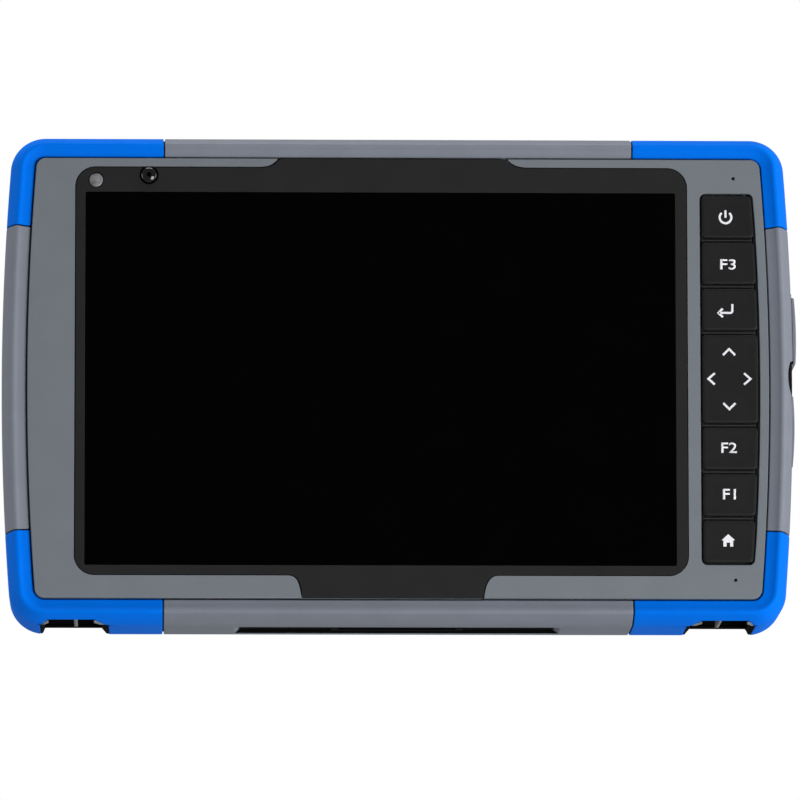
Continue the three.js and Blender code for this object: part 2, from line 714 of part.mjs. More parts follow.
place(
  "port_door_seal",
  cut(
    sidePlate(RECESS_FLOOR + GAP, DOOR.inner - GAP, sealBottom, sealTop, sealFront, sealRear),
    block(
      90,
      far,
      sealFront + sealWidth,
      sealRear - sealWidth,
      sealBottom + sealWidth,
      sealTop - sealWidth,
    ),
  ),
  RUBBER_BLACK,
);

// ---------------------------------------------------------------- ports on the main board
const PORT_FACE_X = PANEL_HALF_W - 0.4;
const PORTS = {
  usb_a: { z: 11.8, halfZ: 6.6, front: -2.8, rear: 2.9, depth: 14 },
  usb_c: { z: -1.7, halfZ: 4.5, front: -0.4, rear: 2.9, depth: 7.5 },
  power: { z: -13.7, halfZ: 4.3, front: -5, rear: 2.9, depth: 12 },
};
function portBody({ z, halfZ, front, rear, depth }) {
  return block(PORT_FACE_X - depth, PORT_FACE_X, front, rear, z - halfZ, z + halfZ);
}
function portMouth({ z, halfZ, front, rear, depth }, wall, left) {
  return block(
    PORT_FACE_X - depth + left,
    PORT_FACE_X + beyond,
    front + wall,
    rear - wall,
    z - halfZ + wall,
    z + halfZ - wall,
  );
}
const usbA = PORTS.usb_a;
place(
  "usb_a_port",
  join(
    cut(portBody(usbA), portMouth(usbA, 0.4, 5)),
    block(
      PORT_FACE_X - 9.2,
      PORT_FACE_X - 0.8,
      usbA.front + 1.1,
      usbA.front + 2.9,
      usbA.z - 5.5,
      usbA.z + 5.5,
    ),
  ),
  STEEL,
);
const usbC = PORTS.usb_c;
place(
  "usb_c_port",
  join(
    cut(portBody(usbC), portMouth(usbC, 0.35, 2)),
    block(PORT_FACE_X - 5.7, PORT_FACE_X - 0.9, 0.9, 1.6, usbC.z - 3.3, usbC.z + 3.3),
  ),
  STEEL,
);
const power = PORTS.power;
const powerY = (power.front + power.rear) / 2;
place(
  "power_jack",
  join(
    cut(portBody(power), rodX(powerY, power.z, 3.1, PORT_FACE_X - 9, PORT_FACE_X + beyond, 20)),
    rodX(powerY, power.z, 0.9, PORT_FACE_X - 9.3, PORT_FACE_X - 1, 12),
  ),
  BLACK_PLASTIC,
);

// ---------------------------------------------------------------- rear case
const PLATE_INNER_Y = REAR_Y - PLATE;
const SCREW = { x: 86.2, z: 47.6, head: 2.6, shank: 1.3, seatY: 15.7, bossEnd: 4 };
const BAY_WALL = 1.8;
const BAY_PLAY = 0.4;
const REAR_CAMERA = { x: 66, z: 44.2, radius: 5 };
const FLASH = { x: 52.5, z: 44.2, radius: 2.6 };
const SPEAKER = { x: -75, z: -34, radius: 10 };
const LATCH = { x: 20, halfX: 9, bottom: 38, top: 45, pocketY: 16.05, travel: 4.5 };
const CONTACT = { left: -52, right: -36, bottom: -38, top: -33 };

const rearWalls = frameOf([
  [-WALL, PARTING_Y + SEAL.half + GAP],
  [-OUTER_LEDGE, PARTING_Y + SEAL.half + GAP],
  [-OUTER_LEDGE, TONGUE.rear + GAP],
  [0, TONGUE.rear + GAP],
  [0, PLATE_INNER_Y + 0.3],
  [-WALL, PLATE_INNER_Y + 0.3],
]);
const bayOuter = block(
  -BATTERY.halfW - BAY_PLAY - BAY_WALL,
  BATTERY.halfW + BAY_PLAY + BAY_WALL,
  BAY_FLOOR_Y,
  PLATE_INNER_Y + 0.2,
  BATTERY.bottom - BAY_PLAY - BAY_WALL,
  BATTERY.top + BAY_PLAY + BAY_WALL,
);
const bayInner = block(
  -BATTERY.halfW - BAY_PLAY,
  BATTERY.halfW + BAY_PLAY,
  BAY_FLOOR_Y + 1.2,
  REAR_Y + beyond,
  BATTERY.bottom - BAY_PLAY,
  BATTERY.top + BAY_PLAY,
);
const screwPlaces = [
  ["top_left", -1, 1],
  ["top_right", 1, 1],
  ["bottom_left", -1, -1],
  ["bottom_right", 1, -1],
].map(([label, sx, sz]) => ({ label, x: sx * SCREW.x, z: sz * SCREW.z }));
const bosses = screwPlaces.map(({ x, z }) => rodY(x, z, 3.7, SCREW.bossEnd, PLATE_INNER_Y + 0.2, 14));
const screwHoles = screwPlaces.map(({ x, z }) =>
  join(
    rodY(x, z, SCREW.shank + GAP, SCREW.bossEnd - beyond, REAR_Y, 12),
    rodY(x, z, SCREW.head + GAP, SCREW.seatY - GAP, REAR_Y + beyond, 18),
  ),
);
const latchPockets = [-1, 1].map((s) => {
  const inner = LATCH.x - LATCH.halfX - BAY_PLAY;
  const outer = LATCH.x + LATCH.halfX + LATCH.travel + BAY_PLAY;
  return block(
    s > 0 ? inner : -outer,
    s > 0 ? outer : -inner,
    LATCH.pocketY,
    REAR_Y + beyond,
    LATCH.bottom - BAY_PLAY,
    LATCH.top + BAY_PLAY,
  );
});
const speakerSlots = [-2, -1, 0, 1, 2].map((i) =>
  block(
    SPEAKER.x - 7 + Math.abs(i) * 1.2,
    SPEAKER.x + 7 - Math.abs(i) * 1.2,
    PLATE_INNER_Y - beyond,
    REAR_Y + beyond,
    SPEAKER.z + i * 3.2 - 0.8,
    SPEAKER.z + i * 3.2 + 0.8,
  ),
);
const portHoles = Object.values(PORTS).map(({ z, halfZ, front, rear }) =>
  block(88, 97, front - GAP, rear + GAP, z - halfZ - GAP, z + halfZ + GAP),
);
place(
  "rear_case",
  cut(
    join(plateOf(0, PLATE_INNER_Y, REAR_Y), rearWalls, bayOuter, ...bosses),
    bayInner,
    block(
      CONTACT.left - GAP,
      CONTACT.right + GAP,
      BAY_FLOOR_Y - beyond,
      BAY_FLOOR_Y + 2,
      CONTACT.bottom - GAP,
      CONTACT.top + GAP,
    ),
    plugHole,
    rodY(REAR_CAMERA.x, REAR_CAMERA.z, REAR_CAMERA.radius + GAP, 14, REAR_Y + beyond, 24),
    rodY(FLASH.x, FLASH.z, FLASH.radius + GAP, 14, REAR_Y + beyond, 18),
    ...screwHoles,
    ...latchPockets,
    ...speakerSlots,
    ...portHoles,
  ),
  PANEL_GREY,
);
place(
  "housing_seal",
  frameOf([
    [SEAL.inner, PARTING_Y - SEAL.half],
    [SEAL.outer, PARTING_Y - SEAL.half],
    [SEAL.outer, PARTING_Y + SEAL.half],
    [SEAL.inner, PARTING_Y + SEAL.half],
  ]),
  RUBBER_BLACK,
);
for (const { label, x, z } of screwPlaces) {
  const head = rodY(x, z, SCREW.head, SCREW.seatY, REAR_Y - 0.2, 18);
  const shank = rodY(x, z, SCREW.shank, SCREW.bossEnd + 0.5, SCREW.seatY + 0.2, 12);
  const drive = rodY(x, z, 1.2, REAR_Y - 1.2, REAR_Y + beyond, 6);
  place(`case_screw_${label}`, cut(join(head, shank), drive), STEEL);
}
place(
  "rear_camera_window",
  rodY(REAR_CAMERA.x, REAR_CAMERA.z, REAR_CAMERA.radius, 16.3, REAR_Y - 0.15, 24),
  CLEAR_LENS,
);
place(
  "rear_camera_module",
  join(
    block(REAR_CAMERA.x - 4.3, REAR_CAMERA.x + 4.3, 9.5, 14.2, REAR_CAMERA.z - 4.3, REAR_CAMERA.z + 4.3),
    rodY(REAR_CAMERA.x, REAR_CAMERA.z, 3.1, 14, 15.9, 20),
  ),
  BLACK_PLASTIC,
);
place("flash_window", rodY(FLASH.x, FLASH.z, FLASH.radius, 16.3, REAR_Y - 0.15, 18), SENSOR_WHITE);
place(
  "speaker",
  turnedY(SPEAKER.x, SPEAKER.z, [
    [0, 10.4],
    [SPEAKER.radius * 0.6, 10.4],
    [SPEAKER.radius * 0.6, 12.2],
    [SPEAKER.radius, 12.6],
    [SPEAKER.radius, 14.8],
    [0, 14.8],
  ]),
  BLACK_PLASTIC,
);

// ---------------------------------------------------------------- battery pack and its latches
const TRAY_SEAT_Y = BAY_FLOOR_Y + 1.2 + GAP;
const COVER_Y = 15.6;
place(
  "battery_tray",
  cut(
    block(-BATTERY.halfW, BATTERY.halfW, TRAY_SEAT_Y, COVER_Y - GAP, BATTERY.bottom, BATTERY.top),
    block(
      -BATTERY.halfW + 1.4,
      BATTERY.halfW - 1.4,
      TRAY_SEAT_Y + 1.3,
      COVER_Y,
      BATTERY.bottom + 1.4,
      BATTERY.top - 1.4,
    ),
    block(
      CONTACT.left - 1,
      CONTACT.right + 1,
      TRAY_SEAT_Y - beyond,
      TRAY_SEAT_Y + 2,
      CONTACT.bottom - 1,
      CONTACT.top + 1,
    ),
  ),
  BLACK_PLASTIC,
);
const cellGap = 1.2;
const cellMiddle = (BATTERY.bottom + BATTERY.top) / 2;
const cell = (z0, z1) =>
  block(-BATTERY.halfW + 1.8, BATTERY.halfW - 1.8, TRAY_SEAT_Y + 1.6, COVER_Y - 0.7, z0, z1);
place(
  "battery_cells",
  join(
    cell(BATTERY.bottom + 1.8, cellMiddle - cellGap / 2),
    cell(cellMiddle + cellGap / 2, BATTERY.top - 1.8),
    block(50, 56, TRAY_SEAT_Y + 3, TRAY_SEAT_Y + 4, cellMiddle - 5, cellMiddle + 5),
  ),
  CELL_SILVER,
);
place(
  "battery_cover",
  slab(
    roundedRect(-BATTERY.halfW, BATTERY.halfW, BATTERY.bottom, BATTERY.top, 1.2),
    COVER_Y,
    REAR_Y - 0.05,
  ),
  RAIL_GREY,
);
place(
  "battery_contacts",
  block(CONTACT.left, CONTACT.right, BOARD_Y + 1.2 + GAP, TRAY_SEAT_Y + 0.8, CONTACT.bottom, CONTACT.top),
  BLACK_PLASTIC,
);
for (const [side, s] of [["left", -1], ["right", 1]]) {
  const x = s * LATCH.x;
  const plate = block(
    x - LATCH.halfX,
    x + LATCH.halfX,
    LATCH.pocketY + GAP,
    REAR_Y - 0.1,
    LATCH.bottom,
    LATCH.top,
  );
  const rib = block(x - 1, x + 1, REAR_Y - 0.3, HALF_T - 0.05, LATCH.bottom + 0.8, LATCH.top - 0.8);
  place(`battery_latch_${side}`, join(plate, rib), BLACK_PLASTIC);
}

// ---------------------------------------------------------------- inside
const CHASSIS_Y = -11.2;
const chassisSlot = block(-12, 12, CHASSIS_Y - beyond, CHASSIS_Y + 3, -46, -42);
const lightening = [-58, -20, 20, 58].map((x) =>
  slab(roundedRect(x - 15, x + 15, -32, 32, 5), CHASSIS_Y - beyond, CHASSIS_Y + 3),
);
place(
  "chassis",
  cut(
    join(
      plateOf(-WALL - 0.8, CHASSIS_Y, CHASSIS_Y + 1.4),
      frameOf([
        [-WALL - 1.9, CHASSIS_Y - 2.2],
        [-WALL - 0.8, CHASSIS_Y - 2.2],
        [-WALL - 0.8, CHASSIS_Y + 0.2],
        [-WALL - 1.9, CHASSIS_Y + 0.2],
      ]),
    ),
    chassisSlot,
    ...lightening,
  ),
  MAGNESIUM,
);
place("main_board", block(-50, 90.2, BOARD_Y, BOARD_Y + 1.2, -30, 40), BOARD_GREEN);
place("heat_spreader", block(-18, 34, BOARD_Y - 3, BOARD_Y - GAP, -22, 24), COPPER);
place("memory_module", block(-46, -22, BOARD_Y - 2.6, BOARD_Y - GAP, -24, 18), BOARD_GREEN);
place("radio_module", block(40, 70, BOARD_Y - 2.8, BOARD_Y - GAP, -26, 4), STEEL);
place("gnss_antenna", block(-40, -18, -6, 14, 47.2, 51.2), ANTENNA_CERAMIC);

// The flat cable leaves the display, passes the chassis slot and turns down onto the main board.
const cableSection = polygon([
  [DISPLAY_REAR_Y + GAP, -44.3],
  [BOARD_Y - 0.8, -44.3],
  [BOARD_Y - 0.3, -43.8],
  [BOARD_Y - 0.3, -25],
  [BOARD_Y - 0.7, -25],
  [BOARD_Y - 0.7, -43.5],
  [BOARD_Y - 1, -43.9],
  [DISPLAY_REAR_Y + GAP, -43.9],
]);
const cableGeometry = new THREE.ExtrudeGeometry(cableSection, { depth: 20, bevelEnabled: false });
// Section (y, z) extruded along x.
cableGeometry.applyMatrix4(
  new THREE.Matrix4().makeBasis(
    new THREE.Vector3(0, 1, 0),
    new THREE.Vector3(0, 0, 1),
    new THREE.Vector3(1, 0, 0),
  ),
);
place("display_cable", solidOf(cableGeometry.translate(-10, 0, 0)), COPPER);

export default collector;
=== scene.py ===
"""The looks of a rugged field data collector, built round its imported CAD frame."""

import json
import math

import bmesh
import bpy
from mathutils import Matrix, Vector


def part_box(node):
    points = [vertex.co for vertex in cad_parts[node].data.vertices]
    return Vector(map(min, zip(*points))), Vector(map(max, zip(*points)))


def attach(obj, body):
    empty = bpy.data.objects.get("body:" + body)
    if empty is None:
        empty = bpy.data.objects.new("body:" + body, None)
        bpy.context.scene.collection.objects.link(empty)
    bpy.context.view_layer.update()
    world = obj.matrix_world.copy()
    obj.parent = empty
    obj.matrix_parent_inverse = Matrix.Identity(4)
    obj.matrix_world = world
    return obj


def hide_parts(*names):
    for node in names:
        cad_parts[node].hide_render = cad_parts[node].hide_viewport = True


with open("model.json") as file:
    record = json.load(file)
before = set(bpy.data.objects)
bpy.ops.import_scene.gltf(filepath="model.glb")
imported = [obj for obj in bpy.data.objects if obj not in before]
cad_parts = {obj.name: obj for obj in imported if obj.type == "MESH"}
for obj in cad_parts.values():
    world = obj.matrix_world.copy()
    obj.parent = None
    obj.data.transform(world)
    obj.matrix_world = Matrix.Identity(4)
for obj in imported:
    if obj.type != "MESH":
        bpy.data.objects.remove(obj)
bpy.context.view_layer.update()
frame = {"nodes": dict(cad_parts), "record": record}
nodes = frame["nodes"]

MM = 0.001
panel_low, panel_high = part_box("front_panel")
MIDDLE = (panel_low + panel_high) / 2
MIDDLE.y = 0  # shapes are drawn in mm from the panel's middle, y from mid thickness
FACE_Y = panel_low.y / MM


# ---------------------------------------------------------------- dimensions, mm
PANEL_HALF_W = 94.7
PANEL_HALF_H = 56.65
SIDE_RADIUS = 710.0
PANEL_CORNER = 2.4
RIM_OUT = 6.65
HALF_T = 18.0
FLAT_HALF = 8.5
SEAM = 0.38
HALF_GAP = 0.15
TOP_SEAM_X = 59.9
SIDE_SEAM_Z = 39.0
FAR = 140.0

BOW_X = PANEL_HALF_W - SIDE_RADIUS
CORNER_Z = PANEL_HALF_H - PANEL_CORNER
CORNER_X = BOW_X + math.sqrt((SIDE_RADIUS - PANEL_CORNER) ** 2 - CORNER_Z**2)
CORNER_TILT = math.atan2(CORNER_Z, CORNER_X - BOW_X)


# ---------------------------------------------------------------- node-based materials
MATERIALS = {}  # most have the name of the record's slot that they stand for


def new_material(name):
    material = bpy.data.materials.new(name)
    material.use_nodes = True
    MATERIALS[name] = material
    return material.node_tree, material.node_tree.nodes["Principled BSDF"]


def add_node(tree, kind, **settings):
    node = tree.nodes.new(kind)
    for key, value in settings.items():
        setattr(node, key, value)
    return node


def srgb(*levels):
    """0-255 display levels as a linear colour."""
    linear = []
    for level in levels:
        c = level / 255
        linear.append(c / 12.92 if c <= 0.04045 else ((c + 0.055) / 1.055) ** 2.4)
    return (*linear, 1.0)


def noise(tree, size_mm, detail=2.0):
    """Noise whose features are about size_mm across."""
    place = add_node(tree, "ShaderNodeTexCoord")
    texture = add_node(tree, "ShaderNodeTexNoise")
    texture.inputs["Scale"].default_value = 1 / (size_mm * MM)
    texture.inputs["Detail"].default_value = detail
    tree.links.new(place.outputs["Object"], texture.inputs["Vector"])
    return texture.outputs["Fac"]


def mapped(tree, value, low, high, from_low=0.3, from_high=0.7):
    node = add_node(tree, "ShaderNodeMapRange")
    node.inputs["From Min"].default_value = from_low
    node.inputs["From Max"].default_value = from_high
    node.inputs["To Min"].default_value = low
    node.inputs["To Max"].default_value = high
    tree.links.new(value, node.inputs["Value"])
    return node.outputs["Result"]


def mixed(tree, factor, dark, light):
    node = add_node(tree, "ShaderNodeMix", data_type="RGBA")
    node.inputs["A"].default_value = dark
    node.inputs["B"].default_value = light
    tree.links.new(factor, node.inputs["Factor"])
    return node.outputs["Result"]


def scaled(colour, factor):
    return tuple(min(1.0, c * factor) for c in colour[:3]) + (1.0,)


def moulded(
    name,
    colour,
    roughness=0.55,
    grain=0.45,
    depth=0.012,
    mottle=0.05,
    blotch=9.0,
    metallic=0.0,
    specular=0.5,
):
    """A moulded or cast surface: a fine grain, soft blotches of colour and uneven gloss."""
    tree, shader = new_material(name)
    shader.inputs["Metallic"].default_value = metallic
    shader.inputs["Specular IOR Level"].default_value = specular
    wide = noise(tree, blotch, detail=3.0)
    tint = mixed(tree, mapped(tree, wide, 0, 1), scaled(colour, 1 - mottle), scaled(colour, 1 + mottle))
    tree.links.new(tint, shader.inputs["Base Color"])
    fine = noise(tree, grain, detail=2.0)
    tree.links.new(mapped(tree, fine, roughness - 0.06, roughness + 0.06), shader.inputs["Roughness"])
    bump = add_node(tree, "ShaderNodeBump")
    bump.inputs["Distance"].default_value = depth * MM
    bump.inputs["Strength"].default_value = 1.0
    tree.links.new(fine, bump.inputs["Height"])
    tree.links.new(bump.outputs["Normal"], shader.inputs["Normal"])


def glossy(name, colour, roughness, smear=0.03):
    """Polished glass or lens: a faint unevenness of gloss from wiping, nothing else."""
    tree, shader = new_material(name)
    wide = noise(tree, 14.0, detail=4.0)
    tree.links.new(mapped(tree, wide, roughness, roughness + smear), shader.inputs["Roughness"])
    tree.links.new(
        mixed(tree, mapped(tree, wide, 0, 1), scaled(colour, 0.92), scaled(colour, 1.08)),
        shader.inputs["Base Color"],
    )


moulded("panel_plastic", srgb(103, 110, 116), 0.6, grain=0.5, depth=0.016, mottle=0.035)
moulded("rail_rubber", srgb(116, 121, 132), 0.62, grain=0.6, depth=0.012, mottle=0.04, specular=0.3)
moulded("bumper_rubber", srgb(0, 108, 224), 0.55, grain=0.6, depth=0.01, mottle=0.03, specular=0.02)
moulded("anchor_plastic", srgb(122, 126, 130), 0.6, grain=0.5, depth=0.01)
moulded(
    "bezel_plastic", srgb(32, 32, 33), 0.62, grain=0.35, depth=0.01, mottle=0.08, specular=0.12
)
moulded(
    "key_rubber", srgb(25, 25, 26), 0.5, grain=0.4, depth=0.008, mottle=0.1, blotch=6.0, specular=0.15
)
moulded("black_plastic", srgb(20, 20, 21), 0.5, grain=0.3, depth=0.006, mottle=0.1)
moulded("battery_plastic", srgb(98, 104, 110), 0.6, grain=0.5, depth=0.014)
# Flat near-black painted shade, for sheets set in hollows and gaps that lie in shadow.
moulded("painted_shade_black", srgb(7, 7, 8), 0.9, grain=0.4, depth=0.004, specular=0.05)
moulded("seal_rubber", srgb(26, 26, 27), 0.8, grain=0.25, depth=0.008, mottle=0.12)
moulded("magnesium", srgb(168, 171, 174), 0.42, grain=0.5, depth=0.01, metallic=0.85)
moulded("steel", srgb(186, 188, 190), 0.3, grain=0.3, depth=0.002, metallic=0.95)
moulded("cell_foil", srgb(176, 179, 184), 0.34, grain=3.0, depth=0.05, metallic=0.7)
moulded("circuit_board", srgb(26, 78, 52), 0.45, grain=1.6, depth=0.01, mottle=0.25, blotch=3.0)
moulded("copper", srgb(184, 118, 70), 0.35, grain=0.4, depth=0.004, metallic=0.9)
moulded("antenna_ceramic", srgb(190, 176, 146), 0.5, grain=0.3, depth=0.006)
moulded("lens_pale", srgb(116, 115, 118), 0.35, grain=0.55, depth=0.02, mottle=0.5, blotch=1.4)
glossy("lens_black", srgb(2, 2, 4), 0.08)
glossy("screen_glass", srgb(3, 3, 4), 0.05)
glossy("display_module", srgb(10, 10, 13), 0.25)
moulded("legend_ink", srgb(226, 226, 231), 0.5, grain=0.2, depth=0.003, mottle=0.03)


# ---------------------------------------------------------------- meshes, booleans and outlines
def to_row(x, y, z):
    """A point in mm from the panel's middle, as a place in the row frame."""
    return MIDDLE + Vector((x, y, z)) * MM


def link(name, mesh):
    thing = bpy.data.objects.new(name, mesh)
    bpy.context.scene.collection.objects.link(thing)
    return thing


def mesh_object(name, points, faces):
    mesh = bpy.data.meshes.new(name)
    mesh.from_pydata([to_row(*p) for p in points], [], faces)
    tidy_mesh(mesh)
    return link(name, mesh)


def lofted(name, loops, capped=True):
    """Faces between loops of one length, with a cap at each end or from the last loop to the first."""
    count, rows = len(loops[0]), len(loops)
    faces = []
    for i in range(rows - 1 if capped else rows):
        ahead = (i + 1) % rows
        for j in range(count):
            k = (j + 1) % count
            faces.append([i * count + j, i * count + k, ahead * count + k, ahead * count + j])
    if capped:
        faces += [list(range(count)), list(range((rows - 1) * count, rows * count))]
    return mesh_object(name, [point for loop in loops for point in loop], faces)


def tidy_mesh(mesh):
    shape = bmesh.new()
    shape.from_mesh(mesh)
    bmesh.ops.remove_doubles(shape, verts=shape.verts, dist=1e-6)
    bmesh.ops.recalc_face_normals(shape, faces=shape.faces)
    shape.to_mesh(mesh)
    shape.free()


def applied(thing):
    """Makes the modifiers' result the object's own mesh."""
    depsgraph = bpy.context.evaluated_depsgraph_get()
    mesh = bpy.data.meshes.new_from_object(thing.evaluated_get(depsgraph))
    thing.modifiers.clear()
    old = thing.data
    thing.data = mesh
    bpy.data.meshes.remove(old)
    return thing


def combined(thing, operation, others):
    """Applies a boolean with closed solids, which it uses up."""
    for other in others:
        step = thing.modifiers.new("step", "BOOLEAN")
        step.operation = operation
        step.solver = "EXACT"
        step.object = other
    applied(thing)
    for other in others:
        bpy.data.objects.remove(other)
    return thing


def carved(thing, cutters):
    return combined(thing, "DIFFERENCE", cutters)


def kept_inside(thing, envelope):
    return combined(thing, "INTERSECT", [envelope])


def united(name, things):
    whole = combined(things[0], "UNION", things[1:])
    whole.name = name
    return whole


def joined(name, things):
    """One object from several, each with its own faces."""
    shape = bmesh.new()
    for thing in things:
        shape.from_mesh(thing.data)
        bpy.data.objects.remove(thing)
    mesh = bpy.data.meshes.new(name)
    shape.to_mesh(mesh)
    shape.free()
    return link(name, mesh)


SHARP = 32.0  # degrees between faces from which an edge is rounded


def softened(thing, width, segments=3, weld=False):
    """Rounded edges, and normals that keep the flat faces flat."""
    if weld:
        merge = thing.modifiers.new("weld", "WELD")
        merge.merge_threshold = 2e-6
    if width:
        bevel = thing.modifiers.new("edges", "BEVEL")
        bevel.width = width * MM
        bevel.segments = segments
        bevel.limit_method = "ANGLE"
        bevel.angle_limit = math.radians(SHARP)
        bevel.use_clamp_overlap = weld
    thing.data.shade_smooth()
    normals = thing.modifiers.new("normals", "WEIGHTED_NORMAL")
    normals.keep_sharp = True
    normals.weight = 60
    return thing


def finished(thing, slot_name, body, *replaced, look=None):
    thing.data.materials.clear()
    thing.data.materials.append(MATERIALS[look or slot_name])
    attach(thing, body)
    if replaced:
        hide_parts(*replaced)
    return thing


def prism(name, loop, y_front, y_rear):
    """A closed (x, z) outline extruded along y."""
    return lofted(name, [[(x, y, z) for x, z in loop] for y in (y_front, y_rear)])


def flipped(points, sx, sz):
    return [(sx * x, sz * z) for x, z in points]


def block(name, x0, x1, y0, y1, z0, z1, flip=(1, 1)):
    return prism(name, flipped([(x0, z0), (x1, z0), (x1, z1), (x0, z1)], *flip), y0, y1)


def plate(name, loops, y_front, y_rear, bevel, segments=3):
    """A plate cut from closed (x, z) loops: the first is its outline and the rest are holes."""
    curve = bpy.data.curves.new(name, "CURVE")
    curve.dimensions = "2D"
    curve.fill_mode = "BOTH"
    curve.extrude = ((y_rear - y_front) / 2 - bevel) * MM
    curve.bevel_depth = bevel * MM
    curve.bevel_resolution = segments
    curve.offset = -bevel * MM
    for loop in loops:
        spline = curve.splines.new("POLY")
        spline.points.add(len(loop) - 1)
        for point, (x, z) in zip(spline.points, loop):
            point.co = (x * MM, z * MM, 0, 1)
        spline.use_cyclic_u = True
    drawn = link(name + "_curve", curve)
    depsgraph = bpy.context.evaluated_depsgraph_get()
    mesh = bpy.data.meshes.new_from_object(drawn.evaluated_get(depsgraph))
    bpy.data.objects.remove(drawn)
    upright = Matrix.Rotation(math.pi / 2, 4, "X")
    mesh.transform(Matrix.Translation(to_row(0, (y_front + y_rear) / 2, 0)) @ upright)
    tidy_mesh(mesh)
    return link(name, mesh)


def turned(name, x, z, profile, sides=48):
    """A closed (radius, y) profile turned about an axis along y."""
    points, faces = [], []
    rows = len(profile)
    for angle in turn(sides):
        points += [(x + r * math.cos(angle), y, z + r * math.sin(angle)) for r, y in profile]
    for i in range(sides):
        j = (i + 1) % sides
        for k in range(rows - 1):
            faces.append([i * rows + k, j * rows + k, j * rows + k + 1, i * rows + k + 1])
    return mesh_object(name, points, faces)


def rod_z(name, x, y, radius, z0, z1, sides=32):
    ring = [(x + radius * math.cos(a), y + radius * math.sin(a)) for a in turn(sides)]
    return lofted(name, [[(px, py, z) for px, py in ring] for z in (z0, z1)])


def rod_x(name, y, z, radius, x0, x1, sides=48):
    ring = [(y + radius * math.cos(a), z + radius * math.sin(a)) for a in turn(sides)]
    return lofted(name, [[(x, py, pz) for py, pz in ring] for x in (x0, x1)])


def turn(sides):
    return [2 * math.pi * i / sides for i in range(sides)]


def heights(low, high, steps):
    """Evenly spaced values, with both ends."""
    return [low + (high - low) * i / steps for i in range(steps + 1)]


def arc(cx, cz, radius, start, end, steps=8):
    """Points on an arc, angles in degrees."""
    made = []
    for i in range(steps + 1):
        angle = math.radians(start + (end - start) * i / steps)
        made.append((cx + radius * math.cos(angle), cz + radius * math.sin(angle)))
    return made


def bezier(a, b, c, d, steps=8):
    made = []
    for i in range(steps + 1):
        t = i / steps
        u = 1 - t
        weights = (u**3, 3 * u * u * t, 3 * u * t * t, t**3)
        made.append(tuple(sum(w * p[k] for w, p in zip(weights, (a, b, c, d))) for k in (0, 1)))
    return made


def rounded(points, radii, steps=4):
    """A polygon with each corner rounded by its own radius."""
    made = []
    for i, here in enumerate(points):
        corner = Vector(here)
        back = Vector(points[i - 1]) - corner
        ahead = Vector(points[(i + 1) % len(points)]) - corner
        if radii[i] <= 0:
            made.append(tuple(corner))
            continue
        half = back.angle(ahead) / 2
        reach = min(radii[i] / math.tan(half), back.length * 0.45, ahead.length * 0.45)
        start = corner + back.normalized() * reach
        end = corner + ahead.normalized() * reach
        for k in range(steps + 1):
            t = k / steps
            made.append(tuple((1 - t) ** 2 * start + 2 * t * (1 - t) * corner + t * t * end))
    return made


# ---------------------------------------------------------------- the bowed outline
def side_x(z, out=0.0):
    reach = SIDE_RADIUS + out
    return BOW_X + math.sqrt(reach * reach - z * z)


def quarter_outline(out, side_steps=10, corner_steps=8):
    tilt = math.degrees(CORNER_TILT)
    side = arc(BOW_X, 0, SIDE_RADIUS + out, 0, tilt, side_steps)
    corner = arc(CORNER_X, CORNER_Z, max(PANEL_CORNER + out, 0.6), tilt, 90, corner_steps)
    return side + corner[1:]


def outline(out):
    quarter = quarter_outline(out)
    mirrored = lambda sx, sz: [(sx * x, sz * z) for x, z in quarter]
    return quarter + mirrored(-1, 1)[::-1] + mirrored(-1, -1)[1:] + mirrored(1, -1)[::-1][:-1]


def side_plate(name, out0, out1, bottom, top, y0, y1, crown=0.0):
    """A curved plate on the side: the outer face may swell by crown between its ends."""
    steps = 12
    levels = heights(bottom, top, steps)
    inner = [(side_x(z, out0), z) for z in reversed(levels)]
    outer = []
    for z in levels:
        t = 2 * (z - bottom) / (top - bottom) - 1
        outer.append((side_x(z, out1 - crown * t * t), z))
    return prism(name, outer + inner, y0, y1)


# ---------------------------------------------------------------- the bumper ring
# The ring's section is in mm: out from the panel's edge, and y.
CREST = {"out": 3.55, "radius": 0.8, "from": -138.0, "to": -26.0}
LIP = {"radius": 0.3, "y": -16.68}
BAND_BEND = (2.35, -17.0)
RIM_BEND = 3.0
FLAT_BEND = 3.0
LONG_SIDE_SCALE = 0.94  # the ring is a little narrower along the top and bottom
GAP_FLOOR = {"out": 0.03, "top": -15.6, "bottom": -15.0}
TONGUE_OUT = -1.2
TONGUE_Y = (-9.9, -8.1)


def spread(a, b, c, steps):
    """Points along a bend from a to c, without its two ends."""
    a, b, c = Vector(a), Vector(b), Vector(c)
    made = []
    for i in range(1, steps):
        t = i / steps
        made.append(tuple((1 - t) ** 2 * a + 2 * t * (1 - t) * b + t * t * c))
    return made


def front_half_section():
    """(out, y) from the seam over a cove, a rounded crest and a curved draft to the flat, at the front."""
    lip = arc(SEAM + LIP["radius"], LIP["y"] + LIP["radius"], LIP["radius"], 180, 258, 4)
    crest_y = -HALF_T + CREST["radius"]
    crest = arc(CREST["out"], crest_y, CREST["radius"], CREST["from"], CREST["to"], 10)
    band = spread(lip[-1], BAND_BEND, crest[0], 8)
    slope = math.radians(-CREST["to"])
    start = Vector(crest[-1])
    lean = start + Vector((math.sin(slope), math.cos(slope))) * RIM_BEND
    end = Vector((RIM_OUT, -FLAT_HALF))
    draft = bezier(tuple(start), tuple(lean), (RIM_OUT, -FLAT_HALF - FLAT_BEND), tuple(end), 12)
    return lip + band + crest + draft[1:]


